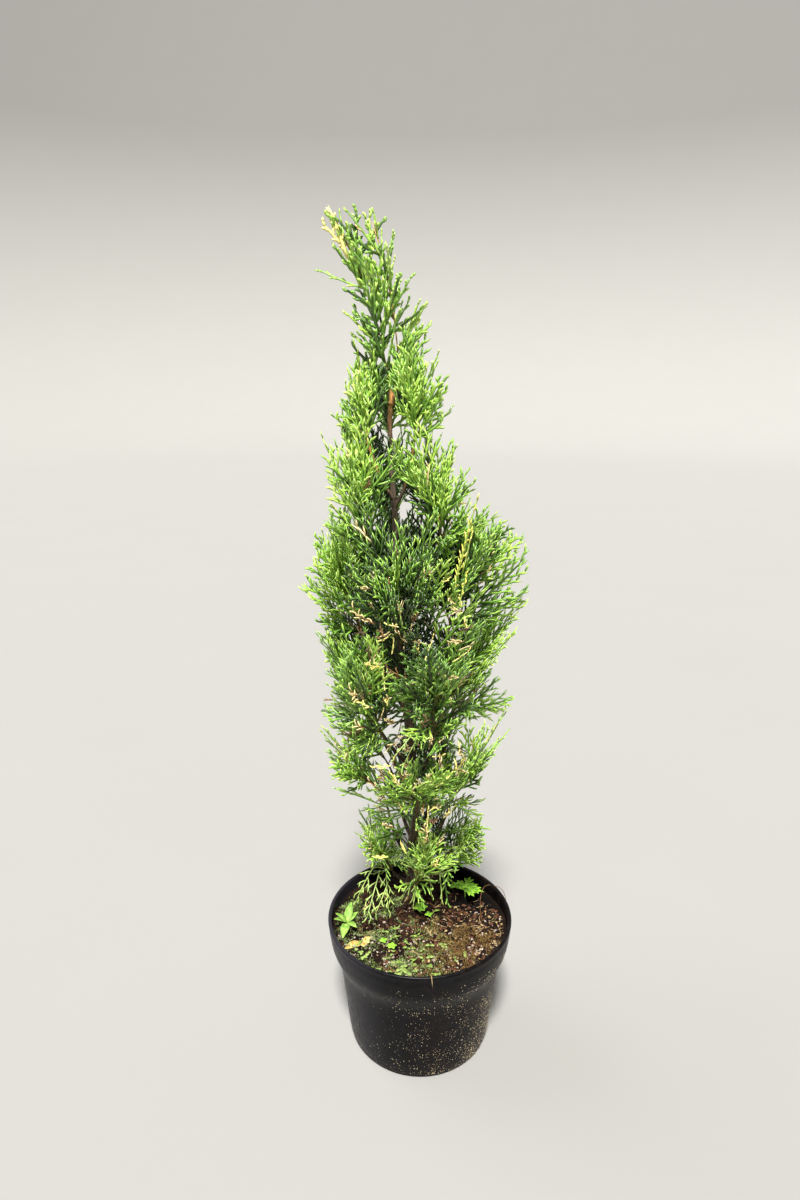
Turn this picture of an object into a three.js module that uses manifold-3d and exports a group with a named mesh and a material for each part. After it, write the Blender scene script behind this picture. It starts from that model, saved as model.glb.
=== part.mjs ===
// Potted thuja: a young upright arborvitae in a round nursery pot.
// Millimetres, +Z up. The origin is the centre of the pot's flat underside.
// The photograph looks along +Y, with +X to its right.

import * as THREE from "three";
import { mergeVertices } from "three/addons/utils/BufferGeometryUtils.js";
import Module from "manifold-3d";

const wasm = await Module();
wasm.setup();

// Pot: a thin-walled moulded tub. Radii are outside radii, each at its height. The two bends are
// shares of the way, in radius and in height, from the waist to the shoulder and on to the lip.
const POT = {
  height: 128,
  rimRadius: 87,
  lipHeight: 12,
  lipStep: 1,
  lipRound: 2,
  beadWidth: 3,
  beadUnder: 0.6,
  shoulderRadius: 78,
  shoulderHeight: 88,
  waistRadius: 73.6,
  waistHeight: 60,
  lowBend: [0.45, 0.62],
  highBend: [0.62, 0.5],
  heelRadius: 69,
  heelHeight: 18,
  footRadius: 65.5,
  chamfer: 2.5,
  wall: 1.8,
  floor: 2.2,
  segments: 32,
};

// Root ball: peat that fills the pot to a little below its rim, heaped at the trunk.
const SOIL = {
  heapHeight: 120,
  padRadius: 9,
  clearance: 0.35,
  slopeRadius: 0.6,
  slopeRise: 0.45,
  slopeShift: 0.5,
};

// Trunk: the line that its middle follows, as x, y and z, up to the foot of its leading shoot.
const TRUNK = {
  line: [
    [-9, 36, 120.3],
    [-6, 30, 175],
    [-4, 24, 230],
    [-11, 16, 312],
    [-22, 7, 420],
    [-23, 4, 505],
    [-27, 3, 575],
    [-26, 3, 606],
    [-30, 2, 630],
  ],
  footRadius: 4.6,
  tipRadius: 1.2,
  flareRadius: 3.4,
  flareHeight: 9,
  sides: 8,
  steps: 24,
  curveTension: 0.5,
  samples: 240,
};

// Crown outline seen from the front: height, furthest left and furthest right.
const OUTLINE = [
  [134, -44, 42],
  [160, -52, 62],
  [200, -58, 66],
  [235, -62, 62],
  [255, -80, 58],
  [285, -85, 64],
  [305, -91, 82],
  [327, -95, 86],
  [343, -74, 80],
  [356, -83, 68],
  [370, -86, 60],
  [393, -87, 76],
  [418, -92, 90],
  [445, -101, 94],
  [470, -93, 88],
  [491, -89, 76],
  [510, -86, 54],
  [540, -83, 44],
  [556, -81, 38],
  [572, -79, 22],
  [590, -74, 27],
  [604, -67, 31],
  [618, -61, 27],
  [632, -59, 14],
  [650, -59, 10],
  [672, -62, 2],
  [688, -72, -5],
  [700, -83, -10],
  [714, -74, -16],
  [740, -77, -36],
];
const DEPTH_SHARE = 0.94;

// Gaps that show through the crown from the photograph's viewpoint: x, z, half width and half height
// of each one on the plane y = 0.
const VIEWPOINT = { x: -18.7, y: -624, z: 607 };
const GAPS = [
  [-13, 512, 6, 20],
  [-14, 567, 5, 17],
  [-67, 514, 4, 8],
  [36, 301, 10, 15],
  [-30, 285, 9, 22],
  [-45, 252, 6, 22],
  [-13, 219, 6, 15],
  [63, 267, 13, 16],
  [55, 250, 9, 10],
  [44, 168, 12, 8],
];

// Tiers of boughs from the lowest to the highest. Each tier's cells rise outwards with the boughs.
// Heights: the floor and the ceiling of its cells, where its boughs leave the trunk (foot), and where
// their masses begin (start). A bough's tip reaches a share of the crown's width (out).
const TIERS = [
  { name: "low", floor: 128, ceiling: 218, foot: 134, start: 146, out: 0.46 },
  { name: "lower", floor: 218, ceiling: 306, foot: 158, start: 222, out: 0.5 },
  { name: "middle", floor: 306, ceiling: 394, foot: 240, start: 308, out: 0.46 },
  { name: "upper", floor: 394, ceiling: 480, foot: 334, start: 395, out: 0.46 },
  { name: "high", floor: 480, ceiling: 566, foot: 428, start: 480, out: 0.4 },
  { name: "top", floor: 566, ceiling: 634, foot: 516, start: 564, out: 0.4 },
];
// How many boughs a tier has, the turn of its first one, the length of its sprays and the twigs of a mass.
const TIER_GROWTH = {
  low: { boughs: 4, turn: 6, spray: 60, twigs: 3 },
  lower: { boughs: 5, turn: -16, spray: 70, twigs: 4 },
  middle: { boughs: 5, turn: 14, spray: 80, twigs: 4 },
  upper: { boughs: 4, turn: 4, spray: 80, twigs: 4 },
  high: { boughs: 3, turn: -26, spray: 62, twigs: 4 },
  top: { boughs: 3, turn: -30, spray: 54, twigs: 3 },
};
const TIER_SLOPE = 0.28;
const BOUGH = { footRadius: 2.7, tipRadius: 1.15, sides: 4, steps: 5, stagger: 7, spread: 0.66, lift: 0.3 };
const TOP_SHRINK = 0.42;

// Second leader: it forks from the trunk and runs beside the leading shoot.
const FORK = { height: 598, bend: [-19, 3, 616], tip: [-20, 1, 632], footRadius: 1.9 };

// Leading shoots: the mass on each one, with the point that its tip reaches.
const LEADERS = [
  { name: "left", tip: [-71, -4, 737.5], floor: 612, spray: 46, twigs: 7, turn: 180 },
  { name: "right", tip: [-41, 0, 735], floor: 612, spray: 44, twigs: 6, turn: 0 },
];
const LEADER_LEAN = [44, 18];

// Seeds of the masses' random numbers: the leaders' first one, and the steps from tier to tier and from
// mass to mass.
const SEEDS = { leaders: 9000, tier: 1000, mass: 37 };

// Foliage: twigs turn round a mass's stem, and each carries a flat spray on its tip and one on its side.
const GROWTH = {
  stemRadius: 1.15,
  stemTip: 0.6,
  stemSides: 3,
  stemSteps: 3,
  crest: 0.62,
  crestFoot: 0.93,
  topMargin: 46,
  firstTwig: 0.08,
  twigRadius: 0.85,
  twigTip: 0.6,
  twigSides: 3,
  twigShare: 0.26,
  sink: 3,
  twigJitter: 0.3,
  goldenTurn: 137.5,
  turnSpread: 30,
  lean: [60, 22],
  leanDrop: 4,
  leanSpread: 14,
  smallest: 0.9,
  largest: 1.2,
  stemBend: 0.5,
  shortest: 24,
  sideTurn: 40,
  sideFoot: 0.35,
  sideShare: 0.85,
  roll: 42,
  otherRolls: [0, 36, -36, 72],
  bladeLift: 0.4,
  clearance: 0.45,
  slack: 12,
  soilClearance: 6,
  shrink: 0.9,
};
// A spray's outline, as shares of its length: half width, depth of the notches, and where the lobes stand.
// Its ribs are the places along its rachis that are tested with its outline.
const SPRAY = {
  thickness: 1.3,
  rootWidth: 1.6,
  width: 0.34,
  notch: 0.075,
  firstLobe: 0.05,
  lobedShare: 0.68,
  lobeSlope: 0.95,
  lobeArc: [0.38, 0.84],
  notchFade: 0.6,
  stagger: 0.4,
  longLeast: 66,
  pairs: 2,
  longPairs: 3,
  ribs: [0.3, 0.55, 0.8],
};
const JOINT_GAP = 0.3;

const UP = new THREE.Vector3(0, 0, 1);
const point = (list) => new THREE.Vector3(...list);
const radians = THREE.MathUtils.degToRad;
const mix = THREE.MathUtils.lerp;

const peatMaterial = new THREE.MeshStandardMaterial({ color: 0x3a2a1e, roughness: 0.95, metalness: 0 });
const plasticMaterial = new THREE.MeshStandardMaterial({ color: 0x17181a, roughness: 0.45, metalness: 0 });
const barkMaterial = new THREE.MeshStandardMaterial({ color: 0x5b4633, roughness: 0.9, metalness: 0 });
const leafMaterial = new THREE.MeshStandardMaterial({ color: 0x4f8a2e, roughness: 0.6, metalness: 0 });

// Random numbers from a seed, the same on every run: each state is the last one times a constant.
const RANDOM = { multiplier: 16807, modulus: 2147483647 };

function randomStream(seed) {
  let state = seed;
  return () => {
    state = (state * RANDOM.multiplier) % RANDOM.modulus;
    return state / RANDOM.modulus;
  };
}

// Solids for joining and cutting, and back to a geometry. Vertices nearer than this become one.
const MERGE_DISTANCE = 1e-4;

function toSolid(geometry) {
  const bare = geometry.clone();
  bare.deleteAttribute("normal");
  bare.deleteAttribute("uv");
  const merged = mergeVertices(bare, MERGE_DISTANCE);
  return new wasm.Manifold(new wasm.Mesh({
    numProp: 3,
    vertProperties: new Float32Array(merged.attributes.position.array),
    triVerts: new Uint32Array(merged.index.array),
  }));
}

function toGeometry(solid) {
  const mesh = solid.getMesh();
  const geometry = new THREE.BufferGeometry();
  geometry.setAttribute("position", new THREE.BufferAttribute(new Float32Array(mesh.vertProperties), 3));
  geometry.setIndex(new THREE.BufferAttribute(new Uint32Array(mesh.triVerts), 1));
  geometry.computeVertexNormals();
  return geometry;
}

// A cut or a join can leave loose scraps. Only the largest body is kept.
function largestBody(solid) {
  return solid.decompose().reduce((best, body) => (body.volume() > best.volume() ? body : best));
}

function boxesMeet(first, second) {
  const a = first.boundingBox();
  const b = second.boundingBox();
  return [0, 1, 2].every((axis) => a.min[axis] <= b.max[axis] && b.min[axis] <= a.max[axis]);
}

function touchesAny(solid, others) {
  return others.some((other) => boxesMeet(solid, other) && !solid.intersect(other).isEmpty());
}

// Rings of vertices joined into a closed tube with flat ends.
function closedTube(positions, sides, steps) {
  const faces = [];
  for (let ring = 0; ring < steps; ring += 1) {
    for (let side = 0; side < sides; side += 1) {
      const next = (side + 1) % sides;
      const low = ring * sides;
      const high = low + sides;
      faces.push(low + side, low + next, high + next, low + side, high + next, high + side);
    }
  }
  const last = steps * sides;
  for (let side = 1; side < sides - 1; side += 1) {
    faces.push(0, side + 1, side, last, last + side, last + side + 1);
  }
  const geometry = new THREE.BufferGeometry();
  geometry.setAttribute("position", new THREE.Float32BufferAttribute(positions, 3));
  geometry.setIndex(faces);
  return geometry;
}

// A round limb along a curve: rings of vertices with a radius for each step, closed at both ends.
function limbGeometry(curve, radiusAt, sides, steps, flatFoot = false) {
  const frames = curve.computeFrenetFrames(steps, false);
  const positions = [];
  for (let ring = 0; ring <= steps; ring += 1) {
    const middle = curve.getPoint(ring / steps);
    const radius = radiusAt(ring / steps);
    for (let side = 0; side < sides; side += 1) {
      const angle = (2 * Math.PI * side) / sides;
      const corner = middle.clone()
        .addScaledVector(frames.normals[ring], radius * Math.cos(angle))
        .addScaledVector(frames.binormals[ring], radius * Math.sin(angle));
      if (flatFoot && ring === 0) {
        corner.setZ(middle.z);
      }
      positions.push(corner.x, corner.y, corner.z);
    }
  }
  return closedTube(positions, sides, steps);
}

// A closed solid through level circles, each with its middle, its radius and its height.
function ringSolid(rings, segments) {
  const positions = [];
  rings.forEach(([x, y, radius, height]) => {
    for (let side = 0; side < segments; side += 1) {
      const angle = (2 * Math.PI * side) / segments;
      positions.push(x + radius * Math.cos(angle), y + radius * Math.sin(angle), height);
    }
  });
  return closedTube(positions, segments, rings.length - 1);
}

const trunkLine = TRUNK.line.map(point);
const trunkCurve = new THREE.CatmullRomCurve3(trunkLine, false, "catmullrom", TRUNK.curveTension);
const trunkSamples = trunkCurve.getPoints(TRUNK.samples);

// The trunk's middle at a height, carried straight up past its ends.
function trunkAt(height) {
  const above = trunkSamples.findIndex((sample) => sample.z >= height);
  if (above === 0) {
    return trunkSamples[0].clone().setZ(height);
  }
  if (above < 0) {
    return trunkSamples[trunkSamples.length - 1].clone().setZ(height);
  }
  const low = trunkSamples[above - 1];
  const high = trunkSamples[above];
  return low.clone().lerp(high, (height - low.z) / (high.z - low.z));
}

function trunkRadius(along, extra = 0) {
  const height = trunkCurve.getPoint(along).z - TRUNK.line[0][2];
  const flare = TRUNK.flareRadius * Math.exp(-height / TRUNK.flareHeight);
  return mix(TRUNK.footRadius, TRUNK.tipRadius, along) + flare + extra;
}

// The crown's half width, its middle and its half depth at a height.
function crownAt(height) {
  const last = OUTLINE.length - 1;
  const above = Math.min(Math.max(OUTLINE.findIndex((row) => row[0] >= height), 1), last);
  const row = height >= OUTLINE[last][0] ? last : above;
  const [lowHeight, lowLeft, lowRight] = OUTLINE[row - 1];
  const [highHeight, highLeft, highRight] = OUTLINE[row];
  const share = THREE.MathUtils.clamp((height - lowHeight) / (highHeight - lowHeight), 0, 1);
  const left = mix(lowLeft, highLeft, share);
  const right = mix(lowRight, highRight, share);
  const halfWidth = (right - left) / 2;
  const halfDepth = halfWidth * DEPTH_SHARE;
  return { middle: (left + right) / 2, depthMiddle: trunkAt(height).y, halfWidth, halfDepth };
}

function insideCrown(place) {
  const crown = crownAt(place.z);
  const across = (place.x - crown.middle) / crown.halfWidth;
  const deep = (place.y - crown.depthMiddle) / crown.halfDepth;
  return across * across + deep * deep <= 1 && place.z <= OUTLINE[OUTLINE.length - 1][0];
}

const outward = (degrees) => new THREE.Vector3(Math.cos(radians(degrees)), Math.sin(radians(degrees)), 0);

// How far the crown reaches from the trunk, level, at a height and in a direction.
function crownReach(height, degrees) {
  const heading = outward(degrees);
  const start = trunkAt(height);
  let reach = 0;
  while (insideCrown(start.clone().addScaledVector(heading, reach + 1))) {
    reach += 1;
  }
  return reach;
}

// A mass keeps to its own cell: a sector round the trunk between two cones that rise outwards.
function insideCell(place, cell, slack) {
  const middle = trunkAt(place.z);
  const away = Math.hypot(place.x - middle.x, place.y - middle.y);
  const level = place.z - TIER_SLOPE * away;
  if (level < cell.floor - slack || level > cell.ceiling + slack) {
    return false;
  }
  const angle = THREE.MathUtils.radToDeg(Math.atan2(place.y - middle.y, place.x - middle.x));
  const off = Math.abs(THREE.MathUtils.euclideanModulo(angle - cell.turn + 180, 360) - 180);
  return off <= cell.halfTurn || away * Math.sin(radians(Math.min(off - cell.halfTurn, 90))) <= slack;
}

// Leaves stay a little above the rim, and above the soil inside it.
function aboveGround(place) {
  const inPot = Math.hypot(place.x, place.y) < POT.waistRadius;
  return place.z > (inPot ? SOIL.heapHeight : POT.height) + GROWTH.soilClearance;
}

// Whether a place would stand in one of the gaps, seen from the photograph's viewpoint.
function fillsGap(place) {
  const share = -VIEWPOINT.y / (place.y - VIEWPOINT.y);
  const x = mix(VIEWPOINT.x, place.x, share);
  const z = mix(VIEWPOINT.z, place.z, share);
  return GAPS.some(([gapX, gapZ, halfWidth, halfHeight]) => (
    Math.hypot((x - gapX) / halfWidth, (z - gapZ) / halfHeight) < 1
  ));
}

function fitsCell(places, cell) {
  return places.every((place) => (
    insideCrown(place) && insideCell(place, cell, GROWTH.slack) && aboveGround(place) && !fillsGap(place)
  ));
}

// Outline of a flat spray along its own axis: slanting lobes alternate on the two sides of the rachis.
function sprayPoints(length, pairs) {
  const pitch = (length * SPRAY.lobedShare) / pairs;
  const side = (sign, shift) => {
    const edge = [[0, sign * SPRAY.rootWidth]];
    for (let lobe = 0; lobe < pairs; lobe += 1) {
      const foot = length * SPRAY.firstLobe + pitch * (lobe + shift);
      const reach = length * SPRAY.width * Math.sin(Math.PI * mix(...SPRAY.lobeArc, lobe / pairs));
      const notch = length * SPRAY.notch * (1 - SPRAY.notchFade * (lobe / pairs));
      edge.push([foot + reach * SPRAY.lobeSlope, sign * reach]);
      edge.push([foot + pitch + notch, sign * notch]);
    }
    return edge;
  };
  return [...side(-1, 0), [length, 0], ...side(1, SPRAY.stagger).reverse()];
}

// A spray's own axes: along it, across its blade, and out of its blade.
function sprayAxes(heading, away, roll) {
  const lift = UP.clone().addScaledVector(away, GROWTH.bladeLift);
  const level = lift.addScaledVector(heading, -lift.dot(heading)).normalize();
  const across = level.applyAxisAngle(heading, radians(roll));
  return { heading, across, normal: new THREE.Vector3().crossVectors(heading, across) };
}

function sprayPlaces(foot, axes, length, pairs) {
  const ribs = SPRAY.ribs.map((share) => [length * share, 0]);
  return [...sprayPoints(length, pairs), ...ribs].map(([along, off]) => (
    foot.clone().addScaledVector(axes.heading, along).addScaledVector(axes.across, off)
  ));
}

function spraySolid(foot, axes, length, pairs, margin = 0) {
  const shape = new THREE.Shape(sprayPoints(length, pairs).map(([along, off]) => (
    new THREE.Vector2(along, off + Math.sign(off) * margin)
  )));
  const depth = SPRAY.thickness + 2 * margin;
  const blade = new THREE.ExtrudeGeometry(shape, { depth, bevelEnabled: false });
  blade.translate(0, 0, -depth / 2);
  const basis = new THREE.Matrix4().makeBasis(axes.heading, axes.across, axes.normal).setPosition(foot);
  return toSolid(blade.applyMatrix4(basis));
}

// A tapering twig between two points, thicker all round by any clearance that it keeps.
function twigSolid(from, to, extra = 0) {
  const length = from.distanceTo(to);
  const footRadius = GROWTH.twigRadius + extra;
  const tipRadius = GROWTH.twigTip + extra;
  const twig = new THREE.CylinderGeometry(tipRadius, footRadius, length, GROWTH.twigSides, 1);
  twig.rotateX(Math.PI / 2);
  const heading = to.clone().sub(from).normalize();
  twig.applyQuaternion(new THREE.Quaternion().setFromUnitVectors(UP, heading));
  const middle = from.clone().lerp(to, 0.5);
  return toSolid(twig.translate(middle.x, middle.y, middle.z));
}

// The longest spray from a foot that stays in the cell and clear of everything else.
function growSpray(foot, heading, away, roll, wanted, cell, obstacles) {
  for (let length = wanted; length >= GROWTH.shortest; length *= GROWTH.shrink) {
    const pairs = length > SPRAY.longLeast ? SPRAY.longPairs : SPRAY.pairs;
    for (const otherRoll of GROWTH.otherRolls) {
      const axes = sprayAxes(heading, away, roll + otherRoll);
      if (fitsCell(sprayPlaces(foot, axes, length, pairs), cell)) {
        if (!touchesAny(spraySolid(foot, axes, length, pairs, GROWTH.clearance), obstacles)) {
          return [spraySolid(foot, axes, length, pairs)];
        }
      }
    }
  }
  return [];
}

const stemRadius = (along) => mix(GROWTH.stemRadius, GROWTH.stemTip, along);
const stemSolid = (curve) => toSolid(limbGeometry(curve, stemRadius, GROWTH.stemSides, GROWTH.stemSteps));

// A mass's stem starts just clear of the limb that carries it, and runs on from it to the mass's top.
function stemCurve(limb, top) {
  const heading = limb.getTangent(1);
  const start = limb.getPoint(1).addScaledVector(heading, JOINT_GAP);
  const bend = start.clone().addScaledVector(heading, start.distanceTo(top) * GROWTH.stemBend);
  return new THREE.QuadraticBezierCurve3(start, bend, top);
}

// One mass: a stem, twigs that turn round it by the golden angle, two sprays to a twig and one at its top.
function growMass(cell, obstacles) {
  const random = randomStream(cell.seed);
  const spread = (width) => width * (random() - 0.5);
  const twigs = [stemSolid(cell.stem)];
  const sprays = [];
  const away = outward(cell.turn);
  const grow = (foot, heading, roll, size) => {
    sprays.push(...growSpray(foot, heading, away, roll, size, cell, [...obstacles, ...sprays]));
  };
  for (let index = 0; index < cell.twigs; index += 1) {
    const order = (index + GROWTH.twigJitter * random()) / cell.twigs;
    const along = GROWTH.firstTwig + (1 - GROWTH.firstTwig) * order;
    const turn = cell.turn + index * GROWTH.goldenTurn + spread(GROWTH.turnSpread);
    const lean = radians(mix(...cell.lean, along) + spread(GROWTH.leanSpread));
    const roll = spread(2 * GROWTH.roll);
    const sideRoll = spread(2 * GROWTH.roll);
    const size = cell.spray * mix(GROWTH.smallest, GROWTH.largest, random());
    const foot = cell.stem.getPoint(along);
    const heading = cell.stem.getTangent(along).multiplyScalar(Math.cos(lean))
      .addScaledVector(outward(turn), Math.sin(lean)).normalize();
    const twigTip = foot.clone().addScaledVector(heading, size * GROWTH.twigShare);
    const fat = twigSolid(foot, twigTip, GROWTH.clearance);
    if (!fitsCell([twigTip], cell) || touchesAny(fat, obstacles)) {
      continue;
    }
    const sideSwing = radians(index % 2 ? GROWTH.sideTurn : -GROWTH.sideTurn);
    const sideAxis = sprayAxes(heading, away, sideRoll).normal;
    const sideHeading = heading.clone().applyAxisAngle(sideAxis, sideSwing);
    twigs.push(twigSolid(foot, twigTip));
    grow(twigTip.clone().addScaledVector(heading, -GROWTH.sink), heading, roll, size);
    grow(foot.clone().lerp(twigTip, GROWTH.sideFoot), sideHeading, sideRoll, size * GROWTH.sideShare);
  }
  grow(cell.stem.getPoint(GROWTH.crestFoot), cell.stem.getTangent(1), spread(2 * GROWTH.roll), cell.spray);
  return largestBody(wasm.Manifold.union([...twigs, ...sprays]));
}

// A bough runs from the trunk's middle and is cut 0.3 mm clear of its bark.
const clearOfBark = (along) => trunkRadius(along, JOINT_GAP);
const trunkClearance = toSolid(limbGeometry(trunkCurve, clearOfBark, TRUNK.sides, TRUNK.steps));

function boughSolid(curve, footRadius, tipRadius) {
  const radiusAt = (along) => mix(footRadius, tipRadius, along);
  const whole = toSolid(limbGeometry(curve, radiusAt, BOUGH.sides, BOUGH.steps));
  return largestBody(whole.subtract(trunkClearance));
}

const group = new THREE.Group();

function addMesh(name, geometry, material) {
  const mesh = new THREE.Mesh(geometry, material);
  mesh.name = name;
  group.add(mesh);
}

// The pot's wall from its heel to the foot of its lip, as outside radii and heights.
const waist = [POT.waistRadius, POT.waistHeight];
const shoulder = [POT.shoulderRadius, POT.shoulderHeight];
const lipFoot = [POT.rimRadius - POT.lipStep, POT.height - POT.lipHeight];
const between = (low, high, shares) => shares.map((share, axis) => mix(low[axis], high[axis], share));
const potWall = [
  [POT.heelRadius, POT.heelHeight],
  waist,
  between(waist, shoulder, POT.lowBend),
  shoulder,
  between(shoulder, lipFoot, POT.highBend),
  lipFoot,
];

// Pot profile: up the outside, over the rolled lip, down the inside and back along the floor.
const potProfile = [
  [0, 0],
  [POT.footRadius - POT.chamfer, 0],
  [POT.footRadius, POT.chamfer],
  ...potWall,
  [POT.rimRadius, POT.height - POT.lipRound],
  [POT.rimRadius - POT.lipStep, POT.height],
  [POT.rimRadius - POT.beadWidth, POT.height],
  [POT.rimRadius - POT.beadWidth - POT.beadUnder, POT.height - POT.lipRound],
  ...potWall.map(([radius, height]) => [radius - POT.wall, height]).reverse(),
  [POT.footRadius - POT.wall, POT.floor],
  [0, POT.floor],
];

function potGeometry() {
  const points = potProfile.map(([radius, height]) => new THREE.Vector2(radius, height));
  const turned = new THREE.LatheGeometry(points, POT.segments).rotateX(Math.PI / 2);
  return toGeometry(toSolid(turned));
}

// Root ball: level rings that run up the inside of the pot's wall, and in to a flat pad under the trunk.
function soilGeometry() {
  const inset = POT.wall + SOIL.clearance;
  const [lipRadius, edgeHeight] = lipFoot;
  const slopeRadius = (lipRadius - inset) * SOIL.slopeRadius;
  const slopeHeight = mix(edgeHeight, SOIL.heapHeight, SOIL.slopeRise);
  const [footX, footY] = TRUNK.line[0];
  const rings = [
    [0, 0, POT.footRadius - inset, POT.floor + SOIL.clearance],
    ...potWall.map(([radius, height]) => [0, 0, radius - inset, height]),
    [footX * SOIL.slopeShift, footY * SOIL.slopeShift, slopeRadius, slopeHeight],
    [footX, footY, SOIL.padRadius, SOIL.heapHeight],
  ];
  return ringSolid(rings, POT.segments);
}

addMesh("pot", potGeometry(), plasticMaterial);
addMesh("soil", soilGeometry(), peatMaterial);

const trunkSolid = toSolid(limbGeometry(trunkCurve, trunkRadius, TRUNK.sides, TRUNK.steps, true));
addMesh("trunk", toGeometry(trunkSolid), barkMaterial);

// Boughs and the cells of the masses that they carry.
const cells = [];
const limbs = [trunkSolid];

TIERS.forEach((tier, level) => {
  const shrink = 1 - (TOP_SHRINK * level) / (TIERS.length - 1);
  const growth = TIER_GROWTH[tier.name];
  for (let index = 0; index < growth.boughs; index += 1) {
    const turn = growth.turn + (360 / growth.boughs) * index;
    const away = tier.out * crownReach(tier.start, turn);
    const tip = trunkAt(tier.start).addScaledVector(outward(turn), away);
    tip.z += TIER_SLOPE * away;
    const foot = trunkAt(tier.foot + BOUGH.stagger * ((index * 2) % growth.boughs));
    const bend = foot.clone().addScaledVector(outward(turn), away * BOUGH.spread);
    bend.z = mix(foot.z, tip.z, BOUGH.lift);
    const curve = new THREE.QuadraticBezierCurve3(foot, bend, tip);
    const bough = boughSolid(curve, BOUGH.footRadius * shrink, BOUGH.tipRadius);
    limbs.push(bough);
    addMesh(`bough_${tier.name}_${index + 1}`, toGeometry(bough), barkMaterial);

    const topHeight = tier.ceiling + TIER_SLOPE * GROWTH.crest * crownReach(tier.ceiling, turn);
    const topAway = GROWTH.crest * crownReach(topHeight, turn);
    const top = trunkAt(topHeight).addScaledVector(outward(turn), topAway);
    top.z -= GROWTH.topMargin;
    cells.push({
      name: `foliage_${tier.name}_${index + 1}`,
      stem: stemCurve(curve, top),
      turn,
      halfTurn: 180 / growth.boughs,
      floor: tier.floor,
      ceiling: tier.ceiling,
      spray: growth.spray,
      twigs: growth.twigs,
      lean: [GROWTH.lean[0] - GROWTH.leanDrop * level, GROWTH.lean[1]],
      seed: SEEDS.tier * (level + 1) + SEEDS.mass * (index + 1),
    });
  }
});

// The second leader, and the two leading shoots.
const forkCurve = new THREE.QuadraticBezierCurve3(trunkAt(FORK.height), point(FORK.bend), point(FORK.tip));
const forkSolid = boughSolid(forkCurve, FORK.footRadius, TRUNK.tipRadius);
limbs.push(forkSolid);
addMesh("bough_second_leader", toGeometry(forkSolid), barkMaterial);

LEADERS.forEach((leader, index) => {
  cells.push({
    name: `foliage_leader_${leader.name}`,
    stem: stemCurve(index === 0 ? trunkCurve : forkCurve, point(leader.tip)),
    turn: leader.turn,
    halfTurn: 180,
    floor: leader.floor,
    ceiling: OUTLINE[OUTLINE.length - 1][0],
    spray: leader.spray,
    twigs: leader.twigs,
    lean: LEADER_LEAN,
    seed: SEEDS.leaders + SEEDS.mass * (index + 1),
  });
});

// Every stem is kept clear before the first mass grows, so no mass runs through another's stem.
const stems = cells.map((cell) => stemSolid(cell.stem));
const masses = [];
cells.forEach((cell, index) => {
  const otherStems = stems.filter((_, other) => other !== index);
  const mass = growMass(cell, [...limbs, ...otherStems, ...masses]);
  masses.push(mass);
  addMesh(cell.name, toGeometry(mass), leafMaterial);
});

export default group;
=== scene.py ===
"""Looks of the potted thuja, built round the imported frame.

Sizes of the plant are in millimetres, as in the part's source, and MM turns them to metres.
"""

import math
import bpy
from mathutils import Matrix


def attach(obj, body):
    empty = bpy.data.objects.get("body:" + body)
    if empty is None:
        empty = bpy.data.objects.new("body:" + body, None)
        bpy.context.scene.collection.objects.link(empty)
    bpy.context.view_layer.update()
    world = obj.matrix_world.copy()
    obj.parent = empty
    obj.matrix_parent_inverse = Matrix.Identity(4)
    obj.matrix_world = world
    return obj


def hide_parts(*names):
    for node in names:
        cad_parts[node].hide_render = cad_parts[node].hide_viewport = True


bl_info = {
    "name": "Potted Thuja",
    "version": (1, 0, 0),
    "blender": (4, 5, 0),
    "location": "3D View > Sidebar > Potted Thuja",
    "description": "Pot, root ball, limbs, foliage and soil cover of a young upright thuja",
    "category": "Object",
}

import bmesh
import bpy
import numpy as np
from mathutils import Matrix, Quaternion, Vector, noise

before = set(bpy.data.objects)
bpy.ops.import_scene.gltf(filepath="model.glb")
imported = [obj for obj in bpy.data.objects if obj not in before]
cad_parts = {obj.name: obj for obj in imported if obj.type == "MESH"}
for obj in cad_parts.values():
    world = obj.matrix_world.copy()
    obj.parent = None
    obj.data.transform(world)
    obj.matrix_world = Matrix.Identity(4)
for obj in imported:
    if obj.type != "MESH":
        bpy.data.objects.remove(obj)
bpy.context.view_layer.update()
MM = 0.001
UP = Vector((0.0, 0.0, 1.0))
MASS_NODES = sorted(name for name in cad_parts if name.startswith("foliage_"))
BOUGH_NODES = sorted(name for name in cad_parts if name.startswith("bough_"))

# Sizes and growth rule of the source, in millimetres and degrees.
POT = {
    "height": 128.0, "rim": 87.0, "lip": 12.0, "shoulder": 78.0, "shoulder_height": 88.0,
    "waist": 73.6, "waist_height": 60.0, "heel": 69.0, "heel_height": 18.0, "foot": 65.5,
    "wall": 1.8, "floor": 2.2,
}
SOIL = {"heap": 120.0, "edge": 116.0, "pad": 9.0, "hollow": (54, 38, 23, 12.0)}
TRUNK_LINE = [
    (-9, 36, 120.3), (-6, 30, 175), (-4, 24, 230), (-11, 16, 312), (-22, 7, 420),
    (-23, 4, 505), (-27, 3, 575), (-26, 3, 606), (-30, 2, 630),
]
TRUNK = {"foot": 4.6, "tip": 1.2, "flare": 3.4, "flare_height": 9.0}
OUTLINE = [
    (134, -44, 42), (160, -52, 62), (200, -58, 66), (235, -62, 62), (255, -80, 58), (285, -85, 64),
    (305, -91, 82), (327, -95, 86), (343, -74, 80), (356, -83, 68), (370, -86, 60), (393, -87, 76),
    (418, -92, 90), (445, -101, 94), (470, -93, 88), (491, -89, 76), (510, -86, 54), (540, -83, 44),
    (556, -81, 38), (572, -79, 22), (590, -74, 27), (604, -67, 31), (618, -61, 27), (632, -59, 14),
    (650, -59, 10), (672, -62, 2), (688, -72, -5), (700, -83, -10), (714, -74, -16), (740, -77, -36),
]
DEPTH_SHARE = 0.94
VIEWPOINT = Vector((-18.7, -624.0, 607.0))
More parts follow.
